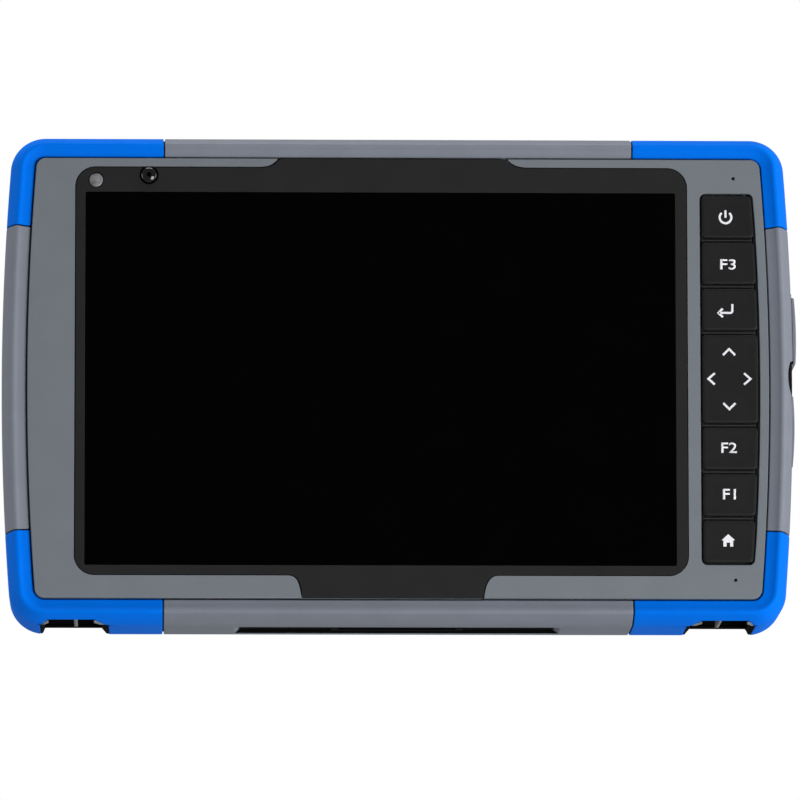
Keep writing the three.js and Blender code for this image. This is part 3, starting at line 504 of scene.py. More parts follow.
def ring_section():
    front = front_half_section()
    rear = [(out, -y) for out, y in reversed(front)]
    tongue = [
        (SEAM, -GAP_FLOOR["top"]),
        (GAP_FLOOR["out"], -GAP_FLOOR["top"]),
        (GAP_FLOOR["out"], -GAP_FLOOR["bottom"]),
        (SEAM, -GAP_FLOOR["bottom"]),
        (SEAM, TONGUE_Y[1]),
        (TONGUE_OUT, TONGUE_Y[1]),
        (TONGUE_OUT, TONGUE_Y[0]),
        (SEAM, TONGUE_Y[0]),
        (SEAM, GAP_FLOOR["bottom"]),
        (GAP_FLOOR["out"], GAP_FLOOR["bottom"]),
        (GAP_FLOOR["out"], GAP_FLOOR["top"]),
        (SEAM, GAP_FLOOR["top"]),
    ]
    return front + rear + tongue


def filler_section():
    """The dark strip deep in each joint, well inside the ring's own section."""
    front = [(0.9, -16.0), (3.5, -17.2), (4.9, -14.6), (5.6, -12.0), (5.9, -FLAT_HALF)]
    return front + [(out, -y) for out, y in reversed(front)]


def straight_station(x):
    return lambda out: (x, PANEL_HALF_H + out * LONG_SIDE_SCALE)


def corner_station(degrees):
    return lambda out: (
        CORNER_X + (PANEL_CORNER + out) * math.cos(math.radians(degrees)),
        CORNER_Z + (PANEL_CORNER + out * LONG_SIDE_SCALE) * math.sin(math.radians(degrees)),
    )


def side_station(z, lean=None):
    """Across the bowed side at a height, leaning with the bow unless another lean is given."""
    slope = math.tan(CORNER_TILT) * (z / SIDE_SEAM_Z if lean is None else lean)

    def at(out):
        height = z + out * slope
        return side_x(height, out), height

    return at


def swept(name, section, stations, sx=1, sz=1):
    """An (out, y) section carried along the stations of the ring."""
    loops = []
    for station in stations:
        places = [(station(out), y) for out, y in section]
        loops.append([(sx * x, y, sz * z) for (x, z), y in places])
    return lofted(name, loops)


RING = ring_section()
# The strap recess in a bumper: an arch that narrows to its ceiling, higher behind the front lip.
STRAP = {
    "inner": 73.6,
    "inner_top": 77.2,
    "outer_top": 89.4,
    "outer": 91.4,
    "ceiling": 61.95,
    "rear": 59.9,
    "bar": 82.2,
}
ARCH_MOUTH = {"inner": 1.2, "outer": 1.0, "rise": 0.3}
ARCH_SHOULDER = {"inner": (1.6, 0.45), "outer": (0.9, 0.35)}
ARCH_RADII = [0, 0, 0.5, 1.0, 1.6, 2.6, 1.6, 0.5]
POCKET = {"left": 74.7, "right": 90.9, "top": 57.2, "front": -13.9, "rear": 12.9}
ARCH_BACK = {"bottom": -10.0, "top": -8.0}
LIP_BACK = -14.2
LIP_DEPTH = 0.6
ANCHOR_WALL = 0.3
ANCHOR_PLAY = 0.03
ANCHOR_OPEN_TOP = -59.0
WELL_WALL = 0.6
WELL_PLAY = 0.15
BAR = {"half": 0.45, "rear": 3.5, "low": -61.6}
RING_EDGE = 0.28
BUMPER_STATIONS = [63, 66.5, 69.5, 71.2, 74.6, 78, 81.4, 84.8, 88]
ANCHOR_SECTION = [(0.9, -16.0), (4.3, -16.6), (5.1, -15.3), (5.85, -12.9), (6.35, -10.6), (6.55, -FLAT_HALF)]
ANCHOR_SECTION += [(out, -y) for out, y in reversed(ANCHOR_SECTION)]
CORNERS = [(vertical, lateral) for vertical in ("top", "bottom") for lateral in ("left", "right")]


def signs(vertical, lateral):
    return (-1 if lateral == "left" else 1), (-1 if vertical == "bottom" else 1)


def strap_arch(shrink=0.0, ceiling=STRAP["ceiling"]):
    """The arch through the lower right bumper, whose ceiling is higher behind its front lip."""
    foot = -PANEL_HALF_H - RIM_OUT
    ceiling = -ceiling - shrink
    inner, outer = STRAP["inner"] + shrink, STRAP["outer"] - shrink
    inner_top, outer_top = STRAP["inner_top"] + shrink, STRAP["outer_top"] - shrink
    inner_run, inner_drop = ARCH_SHOULDER["inner"]
    outer_run, outer_drop = ARCH_SHOULDER["outer"]
    points = [
        (inner - ARCH_MOUTH["inner"], foot - 1),
        (outer + ARCH_MOUTH["outer"], foot - 1),
        (outer, foot + ARCH_MOUTH["rise"]),
        (outer_top + outer_run, ceiling - outer_drop),
        (outer_top, ceiling),
        (inner_top, ceiling),
        (inner_top - inner_run, ceiling - inner_drop),
        (inner, foot + ARCH_MOUTH["rise"]),
    ]
    return rounded(points, ARCH_RADII)


def make_bumper(vertical, lateral):
    sx, sz = signs(vertical, lateral)
    tilt = math.degrees(CORNER_TILT)
    straight = [TOP_SEAM_X + HALF_GAP, *BUMPER_STATIONS, CORNER_X]
    stations = [straight_station(x) for x in straight]
    stations += [corner_station(degrees) for degrees in heights(90, tilt, 16)[1:]]
    side_top = CORNER_Z + PANEL_CORNER * math.sin(CORNER_TILT)
    stations += [side_station(z, 1) for z in heights(side_top, SIDE_SEAM_Z + HALF_GAP, 6)[1:]]
    name = f"bumper_{vertical}_{lateral}"
    body = swept(name + "_shell", RING, stations, sx, sz)
    # The arch is drawn for the lower right corner, so an upper one mirrors it in z. It leaves
    # the front of an upper bumper whole.
    back = ARCH_BACK[vertical]
    flip = (sx, -sz)
    cutters = [prism(name + "_rear", flipped(strap_arch(0, STRAP["rear"]), *flip), back, FAR)]
    if vertical == "bottom":
        cutters.append(prism(name + "_arch", flipped(strap_arch(), *flip), -FAR, back + 0.3))
        span = (STRAP["inner_top"], STRAP["outer_top"])
        cutters.append(block(name + "_open", *span, LIP_BACK, back + 0.2, -FAR, -STRAP["rear"], flip))
    sides, depth = (POCKET["left"], POCKET["right"]), (POCKET["front"], POCKET["rear"])
    pocket = block(name + "_pocket", *sides, *depth, -STRAP["rear"] - 0.9, -POCKET["top"], flip)
    carved(body, [*cutters, pocket])
    softened(body, RING_EDGE)
    finished(body, "bumper_rubber", "housing", name)
    make_strap_anchor(f"strap_anchor_{vertical}_{lateral}", stations, sx, sz, back)


def make_strap_anchor(name, stations, sx, sz, back):
    """A thin pale lining round the arch with a cross bar, and a well behind them in flat black, which is
    painted shade.
    """
    flip = (sx, -sz)
    lower = sz < 0
    ceiling = STRAP["ceiling"] if lower else STRAP["rear"]
    front, rear = (-FAR, back) if lower else (back, POCKET["rear"] - 0.3)

    def within_bumper(part):
        return kept_inside(part, swept(name + "_envelope", ANCHOR_SECTION, stations, sx, sz))

    lining = prism(name + "_lining", flipped(strap_arch(ANCHOR_PLAY, ceiling), *flip), front, rear)
    cutters = [prism(name + "_hollow", flipped(strap_arch(ANCHOR_WALL, ceiling), *flip), -FAR - 1, FAR)]
    if lower:
        span = (STRAP["inner_top"] + 0.3, STRAP["outer_top"] - 0.3)
        levels = (-STRAP["ceiling"] - 0.6, ANCHOR_OPEN_TOP)
        cutters.append(block(name + "_open", *span, LIP_BACK + LIP_DEPTH, FAR, *levels, flip))
    carved(lining, cutters)
    bar_x = (STRAP["bar"] - BAR["half"], STRAP["bar"] + BAR["half"])
    bar = block(name + "_bar", *bar_x, front, BAR["rear"], BAR["low"], -POCKET["top"] - 0.5, flip)
    anchor = joined(name + "_moulding", [within_bumper(lining), within_bumper(bar)])
    finished(softened(anchor, 0), "anchor_plastic", "housing", name)

    # The well is painted shade: flat black walls in the hollow behind the arch.
    left, right = POCKET["left"] + WELL_PLAY, POCKET["right"] - WELL_PLAY
    near, deep = POCKET["front"] + WELL_PLAY, POCKET["rear"] - WELL_PLAY
    top, low = -POCKET["top"] - WELL_PLAY, -STRAP["rear"] - 1.0
    under = top - WELL_WALL
    inner_left, inner_right = left + WELL_WALL, right - WELL_WALL
    well = [
        block("well_top", left, right, near, deep, under, top, flip),
        block("well_left", left, inner_left, near, deep, low, under, flip),
        block("well_right", inner_right, right, near, deep, low, under, flip),
        block("well_front", inner_left, inner_right, near, near + WELL_WALL, low, under, flip),
        block("well_rear", inner_left, inner_right, deep - WELL_WALL, deep, low, under, flip),
    ]
    if lower:
        arch = flipped(strap_arch(ANCHOR_PLAY, STRAP["rear"]), *flip)
        hollow = flipped(strap_arch(ANCHOR_WALL, STRAP["rear"]), *flip)
        shell = prism(name + "_shell", arch, back + 0.02, deep)
        inside = prism(name + "_inside", hollow, -FAR, FAR)
        top_open = block(name + "_top", inner_left, inner_right, near, deep - WELL_WALL, low, top, flip)
        well.append(within_bumper(carved(shell, [inside, top_open])))
    finished(softened(joined(name + "_well", well), 0), "seal_rubber", "housing", look="painted_shade_black")


for corner in CORNERS:
    make_bumper(*corner)

# A dark strip lies deep in each of the eight joints between bumpers and rails.
joint_fillers = []
for corner in CORNERS:
    x_joint = [straight_station(TOP_SEAM_X - HALF_GAP), straight_station(TOP_SEAM_X + HALF_GAP)]
    z_joint = [side_station(SIDE_SEAM_Z - HALF_GAP, 1), side_station(SIDE_SEAM_Z + HALF_GAP, 1)]
    for stations in (x_joint, z_joint):
        joint_fillers.append(swept("joint_filler", filler_section(), stations, *signs(*corner)))
finished(softened(joined("ring_joint_seals", joint_fillers), 0), "seal_rubber", "housing")

top_span = TOP_SEAM_X - HALF_GAP
side_span = SIDE_SEAM_Z - HALF_GAP
across = [straight_station(-top_span), straight_station(top_span)]
along = [side_station(z) for z in heights(-side_span, side_span, 24)]
for name, stations, sx in (("rail_top", across, 1), ("rail_left", along, -1)):
    rail = swept(name + "_shell", RING, stations, sx)
    finished(softened(rail, RING_EDGE), "rail_rubber", "housing", name)

DOCK = {"half_w": 42.0, "slope": 1.4, "ceiling": 61.7, "half_y": 7.0}
PLUG_GAP = 0.3
foot = -PANEL_HALF_H - RIM_OUT - 1
dock_outline = rounded(
    [
        (-DOCK["half_w"] - 0.7, foot),
        (DOCK["half_w"] + 0.7, foot),
        (DOCK["half_w"] - DOCK["slope"], -DOCK["ceiling"]),
        (DOCK["slope"] - DOCK["half_w"], -DOCK["ceiling"]),
    ],
    [0, 0, 0.8, 0.8],
)
dock_recess = prism("dock_recess", dock_outline, -DOCK["half_y"], DOCK["half_y"])
plug_low, plug_high = ((corner - MIDDLE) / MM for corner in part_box("docking_connector"))


def plug_hole(name):
    """Room for the docking connector, up to its top."""
    across_x = (plug_low.x - PLUG_GAP, plug_high.x + PLUG_GAP)
    across_y = (plug_low.y - PLUG_GAP, plug_high.y + PLUG_GAP)
    return block(name, *across_x, *across_y, -FAR, plug_high.z)


rail = swept("rail_bottom_shell", RING, across, 1, -1)
carved(rail, [dock_recess, plug_hole("rail_plug_hole")])
finished(softened(rail, RING_EDGE), "rail_rubber", "housing", "rail_bottom")

# Painted shade: a flat black sheet covers the dock's ceiling and the wall at its back.
SHADE_SHEET_THICK = 0.2
SHADE_SHEET_PLAY = 0.02
SHADE_SHEET_FLARE = 1.2
dock_shade_x = DOCK["half_w"] - DOCK["slope"] - 0.3
dock_shade_y = DOCK["half_y"] - 0.05
dock_shade_low = -DOCK["ceiling"] - 1.1
dock_shade_z = (-DOCK["ceiling"] - SHADE_SHEET_THICK, -DOCK["ceiling"] - SHADE_SHEET_PLAY)
dock_ceiling = block("dock_ceiling", -dock_shade_x, dock_shade_x, -dock_shade_y, dock_shade_y, *dock_shade_z)
carved(dock_ceiling, [plug_hole("dock_shade_plug_hole")])
wall_outline = [
    (-dock_shade_x - SHADE_SHEET_FLARE, dock_shade_low),
    (dock_shade_x + SHADE_SHEET_FLARE, dock_shade_low),
    (dock_shade_x, dock_shade_z[0] - SHADE_SHEET_PLAY),
    (-dock_shade_x, dock_shade_z[0] - SHADE_SHEET_PLAY),
]
dock_wall = prism("dock_wall", wall_outline, dock_shade_y - SHADE_SHEET_THICK, dock_shade_y)
dock_shade_sheet = joined("dock_shade_sheet", [dock_ceiling, dock_wall])
finished(softened(dock_shade_sheet, 0), "seal_rubber", "housing", look="painted_shade_black")


# ---------------------------------------------------------------- right rail and its port door
DOOR = {"bottom": -21.3, "top": 22.7, "front": -6.0, "rear": 6.6, "inner": 4.9}
DOOR_PROUD = {"upper": 1.3, "lower": 0.75}
SCOOP = {"bottom": -3.4, "top": 5.4, "radius": 4.45, "y": -11.1}
HINGE = {"x": PANEL_HALF_W + 5.6, "y": 8.3, "knuckle": 1.7, "pin": 0.8}
PORT_WINDOW = {"bottom": -19.4, "top": 20.9, "front": -5.2, "rear": 4.6}
RECESS_FLOOR = 3.6
DOOR_GAP = 0.3
LIP_DROP = 0.25  # the rail is a little lower just in front of the door
LIP_WIDTH = 4.6
GRIP_DEPTH = 1.4
HINGE_PLAY = 0.4
PIN_REACH = 3.3
PIN_TIP = 0.4  # radius of the pin's ends, which sit in the rail under its surface
PIN_TIP_PLAY = 0.06
PIN_PLAY = 0.1
STRIP = {"out": RIM_OUT + 0.45, "thick": 0.26, "gap": 0.02}


def make_right_rail():
    low, high = DOOR["bottom"] - DOOR_GAP, DOOR["top"] + DOOR_GAP
    window = PORT_WINDOW
    knuckle = HINGE["knuckle"] + HINGE_PLAY
    axis = (HINGE["x"], HINGE["y"])
    tips = (PIN_TIP + PIN_TIP_PLAY, low - PIN_REACH, high + PIN_REACH)
    cutters = [
        block("window", 89, FAR, window["front"], window["rear"], window["bottom"], window["top"]),
        side_plate("recess", RECESS_FLOOR, 20, low, high, DOOR["front"] - 0.4, HINGE["y"]),
        rod_z("knuckle_room", *axis, knuckle, low, high),
        rod_z("pin_bore", *axis, *tips, 20),
        block("swing_room", HINGE["x"], FAR, HINGE["y"] - 0.1, HINGE["y"] + 2.1, low, high),
        side_plate("lip", RIM_OUT - LIP_DROP, 20, low, high, DOOR["front"] - LIP_WIDTH, DOOR["front"]),
    ]
    rail = swept("rail_right_shell", RING, along)
    carved(rail, cutters)
    carved(rail, [finger_notch("notch", -FAR, DOOR["front"] + 1, 0)])
    finished(softened(rail, RING_EDGE), "rail_rubber", "housing", "rail_right")
    # Painted shade: a flat black sheet inside the finger notch, just behind its front edge.
    lining = finger_notch("notch_shade_sheet", -FAR, DOOR["front"] - 0.6, -0.04)
    envelope = swept("notch_envelope", ANCHOR_SECTION, along)
    kept_inside(lining, envelope)
    finished(softened(lining, 0), "seal_rubber", "housing", look="painted_shade_black")


def finger_notch(name, y0, y1, more):
    """Part of a round hollow, kept between two depths."""
    middle = (SCOOP["bottom"] + SCOOP["top"]) / 2
    notch = rod_x(name, SCOOP["y"], middle, SCOOP["radius"], PANEL_HALF_W + RECESS_FLOOR, FAR)
    keep = block(name + "_keep", 80, FAR + 1, y0, y1, SCOOP["bottom"] - more, SCOOP["top"] + more)
    return kept_inside(notch, keep)


def make_port_door():
    front, rear, inner = DOOR["front"], DOOR["rear"], DOOR["inner"]
    upper = RIM_OUT + DOOR_PROUD["upper"]
    lower = RIM_OUT + DOOR_PROUD["lower"]
    scoop_low, scoop_high = SCOOP["bottom"], SCOOP["top"]
    span = (DOOR["bottom"], DOOR["top"])
    axis = (HINGE["x"], HINGE["y"])
    pads = [
        side_plate("upper_pad", inner, upper, scoop_high, DOOR["top"], front, rear, 0.25),
        side_plate("bridge", inner, RIM_OUT, scoop_low - 0.1, scoop_high + 0.1, front, rear),
        side_plate("lower_pad", inner, lower, DOOR["bottom"], scoop_low, front, rear, 0.35),
        block("web", HINGE["x"] - 0.7, HINGE["x"] + 0.9, rear - 0.3, HINGE["y"], *span),
        rod_z("knuckle", *axis, HINGE["knuckle"], *span),
    ]
    door = united("port_door_shell", pads)
    pin_hole = rod_z("pin_hole", *axis, HINGE["pin"] + PIN_PLAY, DOOR["bottom"] - 1, DOOR["top"] + 1, 20)
    grip_back = front + GRIP_DEPTH
    grip_room = (scoop_low + 0.1, scoop_high - 0.1)
    grip = block("grip", PANEL_HALF_W + RECESS_FLOOR, FAR, -FAR, grip_back, *grip_room)
    carved(door, [pin_hole, grip])
    finished(softened(door, 0.3), "rail_rubber", "port_door", "port_door")
    # Painted shadow: flat black strips just in front of the door and inside its grip draw the dark line
    # between rail and door and the dark of the grip.
    ahead = (front - STRIP["gap"] - STRIP["thick"], front - STRIP["gap"])
    within = (grip_back - 0.2, grip_back - STRIP["gap"])
    strips = [
        side_plate("upper_strip", inner, STRIP["out"], scoop_high, DOOR["top"] - 0.2, *ahead),
        side_plate("lower_strip", inner, STRIP["out"] - 0.1, DOOR["bottom"] + 0.2, scoop_low, *ahead),
        side_plate("grip_strip", inner, RIM_OUT + 0.15, scoop_low + 0.2, scoop_high - 0.2, *within),
    ]
    finished(softened(joined("port_door_shade_strips", strips), 0), "seal_rubber", "port_door", look="painted_shade_black")


def make_door_pin():
    """The pin the door swings on, with thinner ends that the rail covers."""
    low, high = DOOR["bottom"] - DOOR_GAP / 2, DOOR["top"] + DOOR_GAP / 2
    reach = PIN_REACH - DOOR_GAP
    shaft = rod_z("shaft", HINGE["x"], HINGE["y"], HINGE["pin"], low, high)
    tips = rod_z("tips", HINGE["x"], HINGE["y"], PIN_TIP, low - reach, high + reach)
    pin = united("door_pin_with_tips", [shaft, tips])
    finished(softened(pin, 0), "steel", "housing", "port_door_pin")


make_right_rail()
make_port_door()
make_door_pin()


# ---------------------------------------------------------------- front panel and bezel
BEZEL = {"left": -82.45, "right": 73.8, "bottom": -50.65, "top": 54.3, "corner": 5.0}
SCREEN = {"left": -80.0, "right": 70.9, "bottom": -48.2, "top": 47.95}
SENSOR = {"x": -77.3, "z": 51.0, "radius": 1.8}
CAMERA = {"x": -63.8, "z": 52.3, "radius": 2.2}
MIC = {"x": 85.8, "z": 51.8, "radius": 0.42}
BEZEL_Y = (FACE_Y + 0.05, FACE_Y + 0.75)
LENS_PLAY = 0.2
PLATE = 2.4
WALL = 2.8
PANEL_EDGE = 0.22


# Where the flanks of the bezel's tabs start, bend and end, from the bezel to the panel's edge.
TABS = {
    "bottom_left": (-27.9, -25.6, -24.9, -24.5),
    "bottom_right": (25.2, 22.9, 21.9, 21.5),
    "top_right": (33.0, 30.4, 28.4, 27.2),
    "top_left": (-35.3, -32.8, -31.3, -30.2),
}
TAB_BEND = {"bottom": -2.0, "top": 0.8}
SEAT_GAP = 0.2


def tab_flank(side, grow, start, edge):
    """An S curve from the bezel's own edge out to the edge of the panel."""
    vertical, lateral = side.split("_")
    away = -grow if lateral == "left" else grow
    levels = (start, start, start + TAB_BEND[vertical], edge)
    return bezier(*[(x + away, z) for x, z in zip(TABS[side], levels)])


def bezel_outline(grow):
    """Anticlockwise, with a tab below and one above that run out to the panel's edges."""
    left, right = BEZEL["left"] - grow, BEZEL["right"] + grow
    bottom, top = BEZEL["bottom"] - grow, BEZEL["top"] + grow
    corner = BEZEL["corner"] + grow
    edge = PANEL_HALF_H - 0.05 + 4 * grow  # the seat cut in the panel runs past its edge
    return (
        tab_flank("bottom_left", grow, bottom, -edge)
        + tab_flank("bottom_right", grow, bottom, -edge)[::-1]
        + arc(right - corner, bottom + corner, corner, -90, 0, 12)
        + arc(right - corner, top - corner, corner, 0, 90, 12)
        + tab_flank("top_right", grow, top, edge)
        + tab_flank("top_left", grow, top, edge)[::-1]
        + arc(left + corner, top - corner, corner, 90, 180, 12)
        + arc(left + corner, bottom + corner, corner, 180, 270, 12)
    )


def window_loop(left, right, bottom, top, corner):
    """A rounded rectangle, clockwise, for a hole."""
    loop = (
        arc(right - corner, bottom + corner, corner, -90, 0, 6)
        + arc(right - corner, top - corner, corner, 0, 90, 6)
        + arc(left + corner, top - corner, corner, 90, 180, 6)
        + arc(left + corner, bottom + corner, corner, 180, 270, 6)
    )
    return loop[::-1]


def round_hole(x, z, radius, steps=32):
    return arc(x, z, radius, 0, 360 - 360 / steps, steps - 1)[::-1]


def frame_of(name, section):
    """A closed (out, y) section swept right round the panel's outline."""
    return lofted(name, [[(x, y, z) for x, z in outline(out)] for out, y in section], capped=False)


KEYS_LEFT = 77.65
KEYS_TOP = 47.2
KEY_HEIGHT = 10.84
KEY_GAP = 1.12
BAY = {"left": 77.2, "half_h": 47.9, "out": -2.3, "corner": 1.4}
KEY_OUT = BAY["out"] - 0.4


def key_loop(left, out, bottom, top, corner, steps=5, side_steps=6):
    """Straight on the left and bowed on the right, anticlockwise from the lower left corner."""
    loop = arc(left + corner, bottom + corner, corner, 180, 270, steps)
    right_low = side_x(bottom, out) - corner
    loop += arc(right_low, bottom + corner, corner, -90, 0, steps)
    for z in heights(bottom + corner, top - corner, side_steps)[1:-1]:
        loop.append((side_x(z, out), z))
    loop += arc(side_x(top, out) - corner, top - corner, corner, 0, 90, steps)
    loop += arc(left + corner, top - corner, corner, 90, 180, steps)
    return loop


bay_loop = key_loop(BAY["left"], BAY["out"], -BAY["half_h"], BAY["half_h"], BAY["corner"], 6, 16)
panel_face = plate(
    "panel_face",
    [
        outline(0),
        bay_loop[::-1],
        round_hole(MIC["x"], MIC["z"], MIC["radius"], 20),
        round_hole(MIC["x"], -MIC["z"], MIC["radius"], 20),
    ],
    FACE_Y,
    FACE_Y + PLATE,
    PANEL_EDGE,
)
carved(panel_face, [prism("bezel_seat", bezel_outline(SEAT_GAP), FACE_Y - 1, FACE_Y + PLATE + 1)])
LEDGE = {"in": -1.5, "front": -10.2, "rear": -9.75}
panel_walls = frame_of(
    "panel_walls",
    [
        (-WALL, FACE_Y + PLATE - 0.3),
        (0, FACE_Y + PLATE - 0.3),
        (0, LEDGE["front"]),
        (LEDGE["in"], LEDGE["front"]),
        (LEDGE["in"], LEDGE["rear"]),
        (-WALL, LEDGE["rear"]),
    ],
)
panel = joined("front_panel_shell", [panel_face, panel_walls])
finished(softened(panel, 0), "panel_plastic", "housing", "front_panel")
# The carved front face stays flat, so that it takes no streaks from its long thin faces.
for face in panel.data.polygons:
    face.use_smooth = abs(face.normal.y) < 0.9995

bezel = plate(
    "bezel_plate",
    [
        bezel_outline(0),
        window_loop(SCREEN["left"], SCREEN["right"], SCREEN["bottom"], SCREEN["top"], 0.5),
        round_hole(SENSOR["x"], SENSOR["z"], SENSOR["radius"] + LENS_PLAY),
        round_hole(CAMERA["x"], CAMERA["z"], CAMERA["radius"] + LENS_PLAY, 40),
    ],
    *BEZEL_Y,
    0.12,
)
finished(softened(bezel, 0), "bezel_plastic", "housing", "screen_bezel")


# ---------------------------------------------------------------- camera dome and light sensor
def lens(name, place, profile, slot_name, node_name):
    made = turned(name, place["x"], place["z"], profile)
    finished(softened(made, 0), slot_name, "housing", node_name)


DOME_RISE = 1.15
DOME_RADIUS = 2.12
dome_foot = FACE_Y + 0.2
dome = []
for angle in range(0, 91, 9):
    lift = DOME_RISE * math.cos(math.radians(angle))
    dome.append((DOME_RADIUS * math.sin(math.radians(angle)), dome_foot - lift))
dome += [(CAMERA["radius"], dome_foot), (CAMERA["radius"], BEZEL_Y[1]), (0.0, BEZEL_Y[1])]
lens("camera_dome", CAMERA, dome, "lens_black", "front_camera_lens")

SENSOR_CURVE = [(0.0, 0.0), (1.2, 0.02), (1.6, 0.08), (1.75, 0.18), (SENSOR["radius"], 0.3)]
sensor_face = BEZEL_Y[0] + 0.04
sensor = [(radius, sensor_face + depth) for radius, depth in SENSOR_CURVE]
sensor += [(SENSOR["radius"], BEZEL_Y[1]), (0.0, BEZEL_Y[1])]
lens("sensor_lens", SENSOR, sensor, "lens_pale", "light_sensor_lens")


# ---------------------------------------------------------------- keys and their legends
KEY_FACE_Y = -17.85
KEY_UNDER_Y = -16.7
KEY_CORNER = 0.9
KEY_PROFILE = [
    (0.0, KEY_UNDER_Y),
    (0.0, KEY_FACE_Y + 0.5),
    (0.05, KEY_FACE_Y + 0.28),
    (0.16, KEY_FACE_Y + 0.12),
    (0.34, KEY_FACE_Y + 0.03),
    (0.6, KEY_FACE_Y),
    (1.1, KEY_FACE_Y + 0.01),
    (1.8, KEY_FACE_Y + 0.03),
    (2.6, KEY_FACE_Y + 0.04),
]
STEM = {"radius": 2.4, "end": -13.9}
PAD_STEM = {"radius": 2.0, "end": -15.7}
STEM_EDGE = 0.3
STEM_ROOT = KEY_UNDER_Y - 0.4
LEGEND_Y = KEY_FACE_Y - 0.02
LEGEND_DEPTH = 0.3
LEGEND_EDGE = 0.03
STROKE = 0.55
FONT_WEIGHT = 0.012


def key_cap(name, bottom, top):
    """A dished cap: loops that step in from its edge, closed at both ends."""
    loops = []
    for inset, y in KEY_PROFILE:
        corner = max(KEY_CORNER - inset * 0.5, 0.35)
        sides = (KEYS_LEFT + inset, KEY_OUT - inset, bottom + inset, top - inset)
        loops.append([(x, y, z) for x, z in key_loop(*sides, corner)])
    return lofted(name, loops)


def legend(name, key, loops):
    """Pale ink let into the face of a key."""
    back = LEGEND_Y + LEGEND_DEPTH
    mark = joined(name, [plate(name, [loop], LEGEND_Y, back, LEGEND_EDGE, 1) for loop in loops])
    finished(softened(mark, 0), "key_rubber", key, look="legend_ink")


def stroke(points, width=STROKE):
    """A line of one width through the points, with square ends."""
    line = [Vector(p) for p in points]
    left, right = [], []
    for i, here in enumerate(line):
        before = (here - line[i - 1]).normalized() if i else None
        after = (line[i + 1] - here).normalized() if i < len(line) - 1 else None
        if before is None or after is None:
            along_line = before or after
            normal = Vector((-along_line.y, along_line.x))
            reach = width / 2
        else:
            normal = (Vector((-before.y, before.x)) + Vector((-after.y, after.x))).normalized()
            reach = width / 2 / max(normal.dot(Vector((-after.y, after.x))), 0.4)
        left.append(tuple(here + normal * reach))
        right.append(tuple(here - normal * reach))
    return left[::-1] + right


def moved(points, x, z):
    return [(px + x, pz + z) for px, pz in points]


def text_legend(name, key, words, x, z, size):
    """Upright letters of a generic function label, sized in mm as (width, height)."""
    curve = bpy.data.curves.new(name, "FONT")
    curve.body = words
    curve.fill_mode = "BOTH"
    curve.offset = FONT_WEIGHT
    curve.extrude = 0.5
    drawn = link(name + "_curve", curve)
    depsgraph = bpy.context.evaluated_depsgraph_get()
    mesh = bpy.data.meshes.new_from_object(drawn.evaluated_get(depsgraph))
    bpy.data.objects.remove(drawn)
    low = [min(v.co[k] for v in mesh.vertices) for k in range(3)]
    high = [max(v.co[k] for v in mesh.vertices) for k in range(3)]
    for vertex in mesh.vertices:
        u, w, t = ((vertex.co[k] - low[k]) / (high[k] - low[k]) for k in range(3))
        depth = LEGEND_Y + LEGEND_DEPTH * (1 - t)
        vertex.co = to_row(x + (u - 0.5) * size[0], depth, z + (w - 0.5) * size[1])
    tidy_mesh(mesh)
    finished(softened(link(name, mesh), 0), "key_rubber", key, look="legend_ink")


def make_key(name, units, top):
    """One key of one or more units, hanging from its top. Gives its bottom and its middle height."""
    height = units * KEY_HEIGHT + (units - 1) * KEY_GAP
    bottom, middle_z = top - height, top - height / 2
    middle_x = (KEYS_LEFT + side_x(middle_z, KEY_OUT)) / 2
    size = STEM if units == 1 else PAD_STEM
    radius, end = size["radius"], size["end"]
    stem_profile = [
        (0.0, STEM_ROOT),
        (radius, STEM_ROOT),
        (radius, end - STEM_EDGE),
        (radius - STEM_EDGE, end),
        (0.0, end),
    ]
    cap = key_cap(name + "_cap", bottom, top)
    stem = turned(name + "_stem", middle_x, middle_z, stem_profile, 32)
    whole = joined(name + "_moulding", [cap, stem])
    finished(softened(whole, 0), "key_rubber", name, name)
    return bottom, middle_z


KEY_ORDER = [
    ("power_key", 1),
    ("upper_function_key", 1),
    ("enter_key", 1),
    ("direction_pad", 2),
    ("middle_function_key", 1),
    ("lower_function_key", 1),
    ("home_key", 1),
]
key_top = KEYS_TOP
key_middle = {}
for name, units in KEY_ORDER:
    key_bottom, key_middle[name] = make_key(name, units, key_top)
    key_top = key_bottom - KEY_GAP

POWER_X, ENTER_X, HOME_X, LABEL_X = 83.8, 83.65, 84.0, 84.35
CHEVRONS = {"x": 84.5, "left": 80.0, "right": 89.1, "up": 6.9, "down": -7.0}

# Power sign: an open ring with a bar in its gap.
power_ring = arc(0, 0, 1.5, 130, 410, 36)
power_bar = [(0, 1.85), (0, -0.1)]
power_z = key_middle["power_key"] - 0.1
legend(
    "power_legend",
    "power_key",
    [moved(stroke(power_ring), POWER_X, power_z), moved(stroke(power_bar), POWER_X, power_z)],
)
# Enter sign: an arrow that comes down and turns left.
enter_z = key_middle["enter_key"] - 0.35
turn_left = [(1.75, 1.75), (1.75, -0.1), (1.6, -0.42), (1.3, -0.55), (-1.75, -0.55)]
arrow_head = [(-0.7, 0.55), (-1.8, -0.55), (-0.7, -1.65)]
legend(
    "enter_legend",
    "enter_key",
    [moved(stroke(turn_left), ENTER_X, enter_z), moved(stroke(arrow_head), ENTER_X, enter_z)],
)
